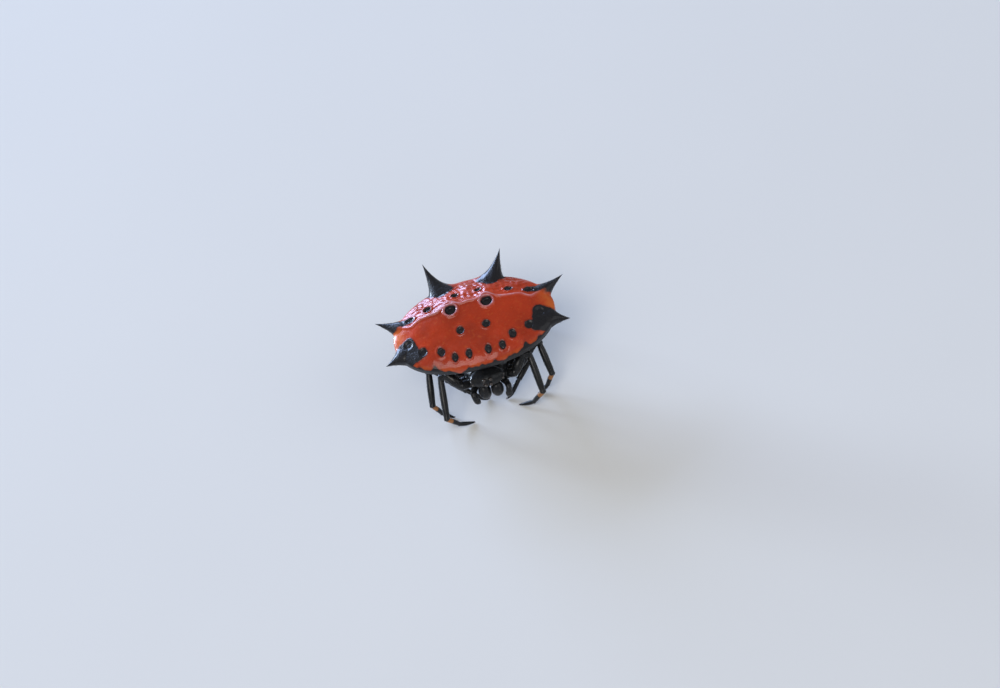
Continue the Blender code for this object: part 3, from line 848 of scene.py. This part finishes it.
def curve_points(path, steps):
    """Points along a smooth curve through a path."""
    padded = [path[0] * 2 - path[1], *path, path[-1] * 2 - path[-2]]
    points = []
    for first, second, third, fourth in zip(padded, padded[1:], padded[2:], padded[3:]):
        for step in range(steps):
            t = step / steps
            spot = second * 2 + (third - first) * t
            spot += (first * 2 - second * 5 + third * 4 - fourth) * t * t
            spot += (second * 3 - first - third * 3 + fourth) * t ** 3
            points.append(spot / 2)
    return points + [path[-1]]


def tapered(path, radii, steps, sides):
    """A smooth tube through a path, with a radius for each of the path's points."""
    points = curve_points(path, steps)
    shares = np.linspace(0.0, len(radii) - 1, len(points))
    return tube(points, np.interp(shares, range(len(radii)), radii), sides)


def surface_roots(piece, count, draw):
    """Evenly spread places on a piece, with its normals there, in millimetres."""
    # The order of a piece's faces and of their corners varies between runs, so both are put in order first
    triangles = []
    for face in piece.data.polygons:
        ring = list(face.vertices)
        first = ring.index(min(ring))
        ring = ring[first:] + ring[:first]
        triangles += [(ring[0], *pair) for pair in zip(ring[1:], ring[2:])]
    places = np.array([vert.co for vert in piece.data.vertices]) / MM
    corners = places[np.array(sorted(triangles))]
    normals = np.cross(corners[:, 1] - corners[:, 0], corners[:, 2] - corners[:, 0])
    areas = np.linalg.norm(normals, axis=1)
    chosen = draw.choice(len(areas), count, p=areas / areas.sum())
    first, second = draw.random(count), draw.random(count)
    over = first + second > 1.0
    first[over], second[over] = 1.0 - first[over], 1.0 - second[over]
    base = corners[chosen, 0]
    roots = base + first[:, None] * (corners[chosen, 1] - base)
    roots += second[:, None] * (corners[chosen, 2] - base)
    return roots, normals[chosen] / areas[chosen, None]


def tuft(roots, ways, bends, lengths, patches):
    """Bristles at their roots, each with a small patch at its root's place in the skin's unwrap."""
    hair = bmesh.new()
    layer = hair.loops.layers.uv.new("OFBake")
    bmesh.ops.create_cone(
        hair, cap_ends=True, segments=BRISTLE_SIDES, radius1=1.0, radius2=0.0, depth=1.0,
        matrix=Matrix.Translation((0.0, 0.0, 0.5)),
    )
    bmesh.ops.remove_doubles(hair, verts=hair.verts, dist=1e-5)
    rising = [edge for edge in hair.edges if abs(edge.verts[0].co.z - edge.verts[1].co.z) > 0.5]
    bmesh.ops.subdivide_edges(hair, edges=rising, cuts=BRISTLE_CUTS)
    pattern = hair.verts[:] + hair.edges[:] + hair.faces[:]
    shape = [vert.co.copy() for vert in hair.verts]
    for root, way, bend, length, patch in zip(roots, ways, bends, lengths, patches):
        copied = bmesh.ops.duplicate(hair, geom=pattern)["geom"]
        way, bend = Vector(way), Vector(bend)
        side = way.cross(bend).normalized()
        bend = side.cross(way)
        width = BRISTLE_RADIUS * length ** 0.5
        for vert, spot in zip(only(copied, bmesh.types.BMVert), shape):
            across = spot.x * width + BRISTLE_BEND * length * spot.z ** 2
            vert.co = Vector(root) + bend * across + side * (spot.y * width) + way * (length * spot.z)
        for face in only(copied, bmesh.types.BMFace):
            for number, loop in enumerate(face.loops):
                corner = ((number in (1, 2)) * PATCH_SIZE, (number in (2, 3)) * PATCH_SIZE)
                loop[layer].uv = (patch[0] + corner[0], patch[1] + corner[1])
    bmesh.ops.delete(hair, geom=only(pattern, bmesh.types.BMVert), context="VERTS")
    return hair


class Nodes:
    """A short way to build a material's nodes. A source is a fixed value or another node's output."""

    def __init__(self, name):
        self.material = bpy.data.materials.new(name)
        self.material.use_nodes = True
        self.tree = self.material.node_tree
        self.place = self.tree.nodes.new("ShaderNodeTexCoord").outputs["Object"]

    def add(self, kind, sources, **settings):
        """Adds a node with its settings and fills its sockets, by name or number."""
        node = self.tree.nodes.new(kind)
        for name, value in settings.items():
            setattr(node, name, value)
        self.fill(node, sources)
        return node

    def fill(self, node, sources):
        for name, source in sources.items():
            socket = node.inputs[name]
            if isinstance(source, bpy.types.NodeSocket):
                self.tree.links.new(source, socket)
            elif isinstance(source, (int, float)):
                socket.default_value = source
            else:
                socket.default_value = (*source, 1.0)

    def finish(self, sources):
        """Fills the shader's sockets and gives the finished material."""
        self.fill(self.tree.nodes["Principled BSDF"], sources)
        return self.material

    def value(self, name):
        return self.add("ShaderNodeAttribute", {}, attribute_name=name).outputs["Fac"]

    def noise(self, scale, detail=3.0):
        sources = {"Vector": self.place, "Scale": scale, "Detail": detail, "Roughness": 0.55}
        return self.add("ShaderNodeTexNoise", sources).outputs["Fac"]

    def cells(self, scale):
        return self.add("ShaderNodeTexVoronoi", {"Vector": self.place, "Scale": scale}).outputs["Distance"]

    def spread(self, source, low, high, to_low=0.0, to_high=1.0):
        sources = {"Value": source, "From Min": low, "From Max": high, "To Min": to_low, "To Max": to_high}
        return self.add("ShaderNodeMapRange", sources, interpolation_type="SMOOTHSTEP").outputs["Result"]

    def math(self, operation, first, second):
        return self.add("ShaderNodeMath", {0: first, 1: second}, operation=operation).outputs["Value"]

    def mix(self, factor, first, second):
        return self.add("ShaderNodeMix", {0: factor, 6: first, 7: second}, data_type="RGBA").outputs[2]

    def bump(self, height, distance, strength, under=None):
        """Relief on top of another bump node's, where one is given."""
        sources = {"Height": height, "Distance": distance, "Strength": strength}
        if under:
            sources["Normal"] = under
        return self.add("ShaderNodeBump", sources).outputs["Normal"]

    def wander(self, edge, scale, reach):
        """Makes the edge of a marking uneven."""
        uneven = self.math("MULTIPLY", self.math("SUBTRACT", self.noise(scale), 0.5), reach)
        return self.math("ADD", edge, uneven)


def scaled(colour, share):
    return tuple(part * share for part in colour)


def shield_material(settings):
    """Glossy red shell with black pits and patches, orange sides, a spotted black underside and a painted
    highlight.
    """
    look = Nodes("red_shell")
    edge = look.wander(look.value("ink"), 3200.0, 0.16)
    black = look.spread(edge, 0.035, -0.035)
    cloud = look.spread(look.noise(420.0, 4.0), 0.3, 0.7)
    red = look.mix(cloud, scaled(settings.red, 0.78), scaled(settings.red, 1.15))
    speckle = look.spread(look.noise(5200.0, 2.0), 0.56, 0.75, 0.0, 0.35)
    red = look.mix(speckle, red, scaled(settings.orange, 0.9))
    sides = look.math("MULTIPLY", look.value("margin"), look.spread(look.noise(900.0), 0.25, 0.6))
    red = look.mix(sides, red, settings.orange)
    halo = look.spread(edge, 0.13, 0.0, 0.0, 0.5)
    red = look.mix(halo, red, scaled(settings.red, 0.3))
    # Painted highlight mixed into the base colour along the crease and round the big pits
    painted_glint = look.math("MULTIPLY", look.value("painted_glint"), look.spread(look.noise(1600.0), 0.3, 0.6, 0.25, 0.75))
    red = look.mix(painted_glint, red, settings.glint_colour)
    spots = look.math("MULTIPLY", look.spread(look.noise(1150.0, 1.0), 0.6, 0.66), look.value("under"))
    dark = look.mix(look.noise(1800.0), settings.ink, scaled(settings.ink, 1.9))
    dark = look.mix(spots, dark, settings.belly_spots)
    polish = look.spread(look.noise(2600.0), 0.3, 0.7, 0.26, 0.38)
    pores = look.bump(look.spread(look.cells(5200.0), 0.0, 0.35), 0.000006, 0.8)
    waves = look.bump(look.noise(2100.0), 0.00004, 0.7, pores)
    grain = look.math("MULTIPLY", look.noise(7000.0), black)
    return look.finish({
        "Base Color": look.mix(black, red, dark),
        "Roughness": look.math("ADD", polish, look.math("MULTIPLY", black, 0.1)),
        "Specular IOR Level": 0.22,
        "Coat Weight": 0.34,
        "Coat Roughness": 0.07,
        "Normal": look.bump(grain, 0.00005, 0.8, waves),
    })


def dark_material(name, roughness, coat, bands=False):
    """Black shell with a fine grain and, on the legs, the pale bands."""
    settings = bpy.context.scene.spider_limbs
    look = Nodes(name)
    cloud = look.noise(1500.0, 4.0)
    colour = look.mix(cloud, scaled(settings.shell, 0.6), scaled(settings.shell, 2.0))
    if bands:
        edge = look.wander(look.value("band"), 6000.0, 0.1)
        colour = look.mix(look.spread(edge, 0.03, -0.03), colour, settings.band)
    scales = look.bump(look.spread(look.cells(9000.0), 0.0, 0.5), 0.000006, 0.6)
    return look.finish({
        "Base Color": colour,
        "Roughness": look.spread(cloud, 0.3, 0.7, roughness - 0.06, roughness + 0.08),
        "Specular IOR Level": 0.26,
        "Coat Weight": coat,
        "Coat Roughness": 0.08,
        "Normal": look.bump(look.noise(3800.0), 0.00002, 0.5, scales),
    })


def eye_material():
    """Wet dark amber."""
    look = Nodes("eye_lens")
    colour = look.mix(look.noise(2500.0), (0.008, 0.004, 0.003), (0.03, 0.013, 0.006))
    return look.finish({"Base Color": colour, "Roughness": 0.06, "Coat Weight": 1.0, "Coat Roughness": 0.02})


def fang_material():
    """Dark red-brown horn."""
    look = Nodes("fang_horn")
    colour = look.mix(look.noise(3000.0), (0.045, 0.012, 0.006), (0.12, 0.03, 0.012))
    return look.finish({"Base Color": colour, "Roughness": 0.22})


def bristle_material(settings):
    """Greyish bristles, paler in places."""
    look = Nodes("bristle_hair")
    colour = look.mix(look.noise(1200.0), scaled(settings.bristle, 0.35), scaled(settings.bristle, 2.2))
    return look.finish({"Base Color": colour, "Roughness": 0.45})


def floor_material(settings):
    """Matt pale floor."""
    look = Nodes("pale_floor")
    tone = look.mix(look.noise(30.0), scaled(settings.floor, 0.97), scaled(settings.floor, 1.02))
    return look.finish({"Base Color": tone, "Roughness": 0.9, "Specular IOR Level": 0.05})


def shell_look():
    """The black shell's material, made once."""
    return bpy.data.materials.get("black_cuticle") or dark_material("black_cuticle", 0.36, 0.12)


def leg_look():
    """The legs' material, made once."""
    return bpy.data.materials.get("leg_cuticle") or dark_material("leg_cuticle", 0.34, 0.25, bands=True)


def fang_look():
    """The claws' and fangs' material, made once."""
    return bpy.data.materials.get("fang_horn") or fang_material()


def side_word(side):
    """The side's name for a viewer who faces the animal, as in the photo."""
    return "left" if side < 0 else "right"


class SPIDER_OT_abdomen(Operator):
    """Add the abdomen: the red shield with its spines, pits, ridge and underside"""

    bl_idname = "spider.abdomen"
    bl_label = "Abdomen"

    def execute(self, context):
        settings = context.scene.spider_shield
        ball = quad_ball(SHIELD_CUTS)
        points, values = shield_points(get_points(ball), settings)
        set_points(ball, shield_to_world(points) + np.array(STANCE))
        piece = to_piece("abdomen_shield", ball, shield_material(settings))
        for name, numbers in values.items():
            add_values(piece, name, numbers)
        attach(piece, "root")
        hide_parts("abdomen")
        return {"FINISHED"}


class SPIDER_OT_spinnerets(Operator):
    """Add the spinnerets under the cone's ring"""

    bl_idname = "spider.spinnerets"
    bl_label = "Spinnerets"

    COLLAR = ((0.0, -0.3), (0.4, -0.3), (0.46, 0.05), (0.36, 0.24), (0.0, 0.27))
    # Each pair: its place along the body and from the middle, its radius, and its reach as a share
    PAIRS = ((-0.17, 0.17, 0.2, 1.0), (0.2, 0.15, 0.17, 0.9), (0.02, 0.08, 0.1, 0.75))
    # A spinneret's profile, as shares of its radius and length
    CONE = (
        (0.0, 0.0), (0.8, 0.0), (1.0, 0.3), (0.95, 0.6), (0.6, 0.66), (0.55, 0.85), (0.3, 1.0), (0.0, 1.0),
    )

    def execute(self, context):
        low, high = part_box("spinnerets")
        middle = (low + high) / 2.0 / MM
        top, bottom = high.z / MM, low.z / MM

        def spot(across, along, height):
            return Vector((middle.x + across, middle.y + along, height))

        shapes = [aim(turned(self.COLLAR, 28), spot(0.0, 0.0, top), spot(0.0, 0.0, bottom))]
        for along, apart, radius, reach in self.PAIRS:
            for side in SIDES:
                foot = spot(side * apart * 0.8, along * 0.8, top - 0.1)
                tip = spot(side * apart, along, top + (bottom - top) * reach)
                length = (tip - foot).length
                cone = [(radius * across, length * height) for across, height in self.CONE]
                shapes.append(aim(turned(cone, 18), foot, tip))
        piece = fused("spinneret_group", shapes, shell_look())
        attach(piece, "root")
        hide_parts("spinnerets")
        return {"FINISHED"}


class SPIDER_OT_front_body(Operator):
    """Add the head, thorax and breast plate, the hips and the stalk"""

    bl_idname = "spider.front_body"
    bl_label = "Front body"

    # A hip's profile as shares of its radius and length, and the stalk's as radii and shares of its length
    HIP = (
        (0.0, -0.1), (0.5, -0.08), (0.9, 0.1), (1.0, 0.35), (1.0, 0.7),
        (0.93, 0.88), (0.78, 0.97), (0.55, 1.0), (0.0, 1.0),
    )
    HIP_OVERLAP = 0.12
    STALK = ((0.0, 0.0), (0.44, 0.0), (0.34, 0.3), (0.29, 0.55), (0.32, 0.8), (0.4, 1.0), (0.0, 1.0))

    def execute(self, context):
        ball = quad_ball(BODY_CUTS)
        set_points(ball, front_body_points(get_points(ball)) + np.array(STANCE))
        body = to_piece("front_body", ball, shell_look())
        shapes = []
        for root, end in HIPS:
            length = (end - root).length + self.HIP_OVERLAP
            profile = [(radius * HIP_RADIUS, height * length) for radius, height in self.HIP]
            for side in SIDES:
                ends = [mirrored(place, side) + STANCE for place in (root, end)]
                shapes.append(aim(turned(profile, 24), *ends))
        hips = to_piece("hip_joints", join(shapes), shell_look())
        length = (STALK_TOP - STALK_FOOT).length
        waist = turned([(radius, height * length) for radius, height in self.STALK], 24)
        stalk = to_piece("stalk", aim(waist, STALK_FOOT + STANCE, STALK_TOP + STANCE), shell_look())
        for piece in (body, hips, stalk):
            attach(piece, "root")
        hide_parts("cephalothorax")
        return {"FINISHED"}


class SPIDER_OT_eyes(Operator):
    """Add the eight eyes"""

    bl_idname = "spider.eyes"
    bl_label = "Eyes"

    def execute(self, context):
        domes = bmesh.new()
        for *place, radius in EYES:
            for side in SIDES:
                spot = Matrix.Translation(mirrored(place, side) + STANCE)
                bmesh.ops.create_uvsphere(domes, u_segments=28, v_segments=18, radius=radius, matrix=spot)
        eyes = to_piece("eye_domes", domes, eye_material())
        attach(eyes, "root")
        return {"FINISHED"}


class SPIDER_OT_jaws(Operator):
    """Add the two jaws and their fangs"""

    bl_idname = "spider.jaws"
    bl_label = "Jaws"

    def execute(self, context):
        for side in SIDES:
            ball = quad_ball(31)
            ways = get_points(ball)
            swell = 1.0 - 0.12 * ways[:, 2] + 0.1 * np.clip(-ways[:, 1], 0.0, 1.0) * (1.0 - ways[:, 2] ** 2)
            points = np.array(JAW_CENTRE) + ways * np.array(JAW_RADII) * swell[:, None]
            lower = np.clip((JAW_CENTRE.z - points[:, 2]) / JAW_RADII.z, 0.0, 1.0)
            points[:, 0] = np.maximum(points[:, 0] - 0.05 * lower ** 2, 0.015 + 0.1 * lower ** 3)
            set_points(ball, points * (side, 1.0, 1.0) + np.array(STANCE))
            if side < 0:
                bmesh.ops.reverse_faces(ball, faces=ball.faces)
            jaw = to_piece("jaw_" + side_word(side), ball, shell_look())
            path = [mirrored(place, side) + STANCE for place in FANG_PATH]
            fang = to_piece("fang_" + side_word(side), tapered(path, FANG_RADII, 5, 14), fang_look())
            for piece in (jaw, fang):
                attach(piece, "root")
            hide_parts("chelicera_" + side_word(side))
        return {"FINISHED"}


class SPIDER_OT_palps(Operator):
    """Add the two feelers beside the jaws"""

    bl_idname = "spider.palps"
    bl_label = "Feelers"

    def execute(self, context):
        for side in SIDES:
            joints = [mirrored(place, side) + STANCE for place in PALP]
            shapes = limb_shapes(joints, PALP_RADII, [0.0] * len(PALP_RADII))
            piece = fused("feeler_" + side_word(side), shapes, leg_look())
            add_values(piece, "band", np.ones(len(piece.data.vertices)))
            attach(piece, "root")
            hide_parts("palp_" + side_word(side))
        return {"FINISHED"}


class SPIDER_OT_legs(Operator):
    """Add the eight legs"""

    bl_idname = "spider.legs"
    bl_label = "Legs"

    def execute(self, context):
        thickness = context.scene.spider_limbs.thickness
        radii = [tuple(radius * thickness for radius in sizes[:3]) for sizes in LENGTHS.values()]
        bows = [sizes[3] for sizes in LENGTHS.values()]
        banded = list(LENGTHS).index("long_foot")
        for number, name, joints in every_leg():
            piece = fused(name + "_shell", limb_shapes(joints, radii, bows), leg_look())
            places = np.array([vert.co for vert in piece.data.vertices]) / MM
            index, along = nearest_length(places, joints)
            add_values(piece, "band", np.where(index == banded, along - BAND_LENGTHS[number], 1.0))
            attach(piece, "root")
            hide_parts(name)
        return {"FINISHED"}


class SPIDER_OT_claws(Operator):
    """Add the pair of claws at each foot's tip"""

    bl_idname = "spider.claws"
    bl_label = "Claws"

    def execute(self, context):
        shapes = []
        up = Vector((0.0, 0.0, 1.0))
        for _, _, (*_, joint, tip) in every_leg():
            ahead = (tip - joint).normalized()
            ahead = Vector((ahead.x, ahead.y, 0.0)).normalized()
            across = ahead.cross(up)
            for part in SIDES:
                path = [
                    tip + ahead * reach + up * rise + across * (part * apart)
                    for (reach, rise), apart in zip(CLAW_PATH, CLAW_APART)
                ]
                shapes.append(tapered(path, CLAW_RADII, 3, 8))
        piece = to_piece("claws", join(shapes), fang_look())
        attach(piece, "root")
        return {"FINISHED"}


class SPIDER_OT_bristles(Operator):
    """Add the short bristles of the legs, the front body and the spines"""

    bl_idname = "spider.bristles"
    bl_label = "Bristles"

    # Bristles of the front body's pieces: their number, their share of the full length, and how they lie
    BODY = {
        "front_body": (800, 0.6, (0.0, -1.0, 0.0)),
        "jaw_left": (90, 0.7, (0.0, -0.2, -1.0)),
        "jaw_right": (90, 0.7, (0.0, -0.2, -1.0)),
        "feeler_left": (120, 0.6, (0.0, -0.2, -1.0)),
        "feeler_right": (120, 0.6, (0.0, -0.2, -1.0)),
    }
    SHIELD_ROOTS = 16000

    def execute(self, context):
        settings = context.scene.spider_limbs
        longest = settings.bristle_length / MM
        draw = np.random.default_rng(7)
        look = bristle_material(settings)
        coat = [
            self.on_leg(name + "_shell", place, joints, settings.bristles, longest, draw)
            for place, (_, name, joints) in enumerate(every_leg())
        ]
        self.add("leg_bristles", coat, draw, look, "leg_shell")
        coat = [self.on_body(name, *sizes, longest, draw) for name, sizes in self.BODY.items()]
        self.add("body_bristles", coat, draw, look, "black_shell")
        self.add("spine_bristles", self.on_spines(longest, draw), draw, look, "shield_shell")
        return {"FINISHED"}

    def on_leg(self, name, place, joints, number, longest, draw):
        """Bristles along a leg, shorter towards its tip. Its place gives its strip of the unwrap."""
        spans = [end - start for start, end in zip(joints, joints[1:])]
        starts = np.cumsum([0.0] + [span.length for span in spans])
        roots, normals = surface_roots(bpy.data.objects[name], int(starts[-1] * number), draw)
        index, along = nearest_length(roots, joints)
        axes = np.array([span.normalized() for span in spans])[index]
        share = (starts[index] + along) / starts[-1]
        turn = np.arctan2(normals[:, 2], normals[:, 0]) / math.tau + 0.5
        patches = np.stack(((place + 0.9 * turn) / 8.1, 0.01 + 0.97 * share), axis=1)
        sizes = longest * draw.uniform(0.45, 1.0, len(roots)) * (1.0 - 0.35 * share)
        return roots, normals * 0.75 + axes * 0.8, axes, sizes, patches

    def on_body(self, name, count, share, lie, longest, draw):
        roots, normals = surface_roots(bpy.data.objects[name], count, draw)
        lies = np.tile(lie, (count, 1))
        patches = np.stack((roots[:, 0] / 8.0 + 0.5, (roots[:, 1] + roots[:, 2]) / 16.0 + 0.5), axis=1)
        sizes = longest * share * draw.uniform(0.5, 1.0, count)
        return roots, normals * 0.8 + lies * 0.7, lies, sizes, patches

    def on_spines(self, longest, draw):
        roots, normals = surface_roots(bpy.data.objects["abdomen_shield"], self.SHIELD_ROOTS, draw)
        coat = []
        for name, sizes in SPINES.items():
            for side in SIDES:
                base, tip = shield_to_world(np.array(spine_ends(name, side))) + np.array(STANCE)
                reach = np.linalg.norm(tip - base)
                axis = (tip - base) / reach
                along = (roots - base) @ axis
                away = np.linalg.norm(roots - base - np.outer(along, axis), axis=1)
                near = (along > 0.3 * reach) & (along < 0.86 * reach) & (away < 1.1 * sizes[2])
                found, lies = roots[near], np.tile(axis, (near.sum(), 1))
                patches = np.stack((found[:, 0] / 16.0 + 0.5, found[:, 1] / 16.0 + 0.5), axis=1)
                lengths = longest * 0.55 * draw.uniform(0.5, 1.0, len(found))
                coat.append((found, normals[near] * 0.8 + lies * 0.8, lies, lengths, patches))
        return coat

    def add(self, name, coat, draw, look, slot):
        """Makes a coat's bristles, without those whose tips leave the solids' box."""
        roots, ways, lies, sizes, patches = (np.concatenate(parts) for parts in zip(*coat))
        ways = ways + draw.normal(0.0, 0.16, ways.shape)
        ways /= np.linalg.norm(ways, axis=1)[:, None]
        tips = (roots + ways * sizes[:, None] * 1.15) * MM
        low, high = (np.array(corner) for corner in solid_box)
        clear = (tips > low).all(axis=1) & (tips < high).all(axis=1)
        parts = [part[clear] for part in (roots, ways, lies, sizes, patches)]
        tufts = [tuft(*(part[at:at + TUFT] for part in parts)) for at in range(0, len(parts[0]), TUFT)]
        piece = to_piece(name, join(tufts), look)
        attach(piece, "root")


class SPIDER_OT_stage(Operator):
    """Add the floor, the lights and the camera"""

    bl_idname = "spider.stage"
    bl_label = "Studio"

    # The camera's turn to the animal's left, its height and roll, and the photo's scale and size. The place
    # FIT_ORIGIN is seen at CENTRE_PIXEL.
    TURN = math.radians(6.5)
    HEIGHT = math.radians(50.0)
    ROLL = math.radians(19.8)
    MM_A_PIXEL = 13.0 / 196.3
    PHOTO_SIZE = (1000, 688)
    FIT_ORIGIN = Vector((0.0, 0.46, 5.03))
    CENTRE_PIXEL = (473.6, 321.3)
    SENSOR = 36.0
    # Each light: the setting of its power and its share of it, its place and size in metres, and its colour
    LIGHTS = {
        "key": ("key", 1.0, (-0.1, -0.22, 0.34), (0.24, 0.24), (1.0, 0.97, 0.93)),
        "fill": ("key", 0.35, (0.34, -0.1, 0.26), (0.3, 0.3), (0.96, 0.98, 1.0)),
        "sky": ("sky", 5.2, (-0.23, 0.38, 0.125), (0.34, 0.15), (0.46, 0.62, 1.0)),
        "rim": ("sky", 4.6, (-0.48, 0.38, 0.07), (0.12, 0.12), (0.7, 0.84, 1.0)),
    }
    LIGHT_TARGET = Vector((0.0, 0.0, 0.004))
    AIR_COLOUR = (0.9, 0.93, 1.0, 1.0)
    AIR_STRENGTH = 0.33
    FLOOR_REACH = 2500.0

    def add_camera(self, scene, settings):
        back = Vector((
            math.sin(self.TURN) * math.cos(self.HEIGHT),
            -math.cos(self.TURN) * math.cos(self.HEIGHT),
            math.sin(self.HEIGHT),
        ))
        turn = (-back).to_track_quat("-Z", "Y").to_matrix() @ Matrix.Rotation(-self.ROLL, 3, "Z")
        right, up = turn @ Vector((1.0, 0.0, 0.0)), turn @ Vector((0.0, 1.0, 0.0))
        sizes = zip(self.PHOTO_SIZE, self.CENTRE_PIXEL)
        across, below = ((size / 2.0 - centre) * self.MM_A_PIXEL for size, centre in sizes)
        target = self.FIT_ORIGIN + STANCE + right * across - up * below
        data = bpy.data.cameras.new("camera")
        data.sensor_width = self.SENSOR
        data.lens = settings.lens
        distance = self.PHOTO_SIZE[0] * self.MM_A_PIXEL * settings.lens / self.SENSOR
        data.clip_start = 0.005
        data.clip_end = 20.0
        camera = bpy.data.objects.new("camera", data)
        camera.matrix_world = Matrix.Translation((target + back * distance) * MM) @ turn.to_4x4()
        scene.collection.objects.link(camera)
        scene.camera = camera

    def add_lights(self, scene, settings):
        for name, (setting, share, place, size, colour) in self.LIGHTS.items():
            data = bpy.data.lights.new(name, "AREA")
            data.shape = "RECTANGLE"
            data.size, data.size_y = size
            data.energy = getattr(settings, setting) * share
            data.color = colour
            light = bpy.data.objects.new(name, data)
            light.location = place
            light.rotation_euler = (self.LIGHT_TARGET - Vector(place)).to_track_quat("-Z", "Y").to_euler()
            scene.collection.objects.link(light)

    def execute(self, context):
        scene = context.scene
        settings = scene.spider_studio
        sheet = bmesh.new()
        bmesh.ops.create_grid(sheet, x_segments=8, y_segments=8, size=self.FLOOR_REACH)
        floor = to_piece("floor", sheet, floor_material(settings))
        self.add_lights(scene, settings)
        world = bpy.data.worlds.new("studio")
        world.use_nodes = True
        backdrop = world.node_tree.nodes["Background"]
        backdrop.inputs["Color"].default_value = self.AIR_COLOUR
        backdrop.inputs["Strength"].default_value = self.AIR_STRENGTH
        scene.world = world
        scene.view_settings.view_transform = "Standard"
        self.add_camera(scene, settings)
        return {"FINISHED"}


class SPIDER_PT_panel(Panel):
    """The pieces of the spider, in the order that they are made"""

    bl_label = "Spiny Orb Weaver"
    bl_idname = "SPIDER_PT_panel"
    bl_space_type = "VIEW_3D"
    bl_region_type = "UI"
    bl_category = "Spider"

    def draw(self, context):
        scene = context.scene
        for settings in (scene.spider_shield, scene.spider_limbs, scene.spider_studio):
            box = self.layout.box()
            for name in settings.__annotations__:
                box.prop(settings, name)
        for piece in PIECES:
            self.layout.operator(piece.bl_idname)


PIECES = (
    SPIDER_OT_stage,
    SPIDER_OT_abdomen,
    SPIDER_OT_spinnerets,
    SPIDER_OT_front_body,
    SPIDER_OT_eyes,
    SPIDER_OT_jaws,
    SPIDER_OT_palps,
    SPIDER_OT_legs,
    SPIDER_OT_claws,
    SPIDER_OT_bristles,
)
CLASSES = (ShieldSettings, LimbSettings, StudioSettings, *PIECES, SPIDER_PT_panel)


def register():
    for item in CLASSES:
        bpy.utils.register_class(item)
    bpy.types.Scene.spider_shield = PointerProperty(type=ShieldSettings)
    bpy.types.Scene.spider_limbs = PointerProperty(type=LimbSettings)
    bpy.types.Scene.spider_studio = PointerProperty(type=StudioSettings)


def unregister():
    del bpy.types.Scene.spider_studio
    del bpy.types.Scene.spider_limbs
    del bpy.types.Scene.spider_shield
    for item in reversed(CLASSES):
        bpy.utils.unregister_class(item)


def main():
    register()
    for piece in PIECES:
        group, name = piece.bl_idname.split(".")
        getattr(getattr(bpy.ops, group), name)()


if __name__ == "__main__":
    main()
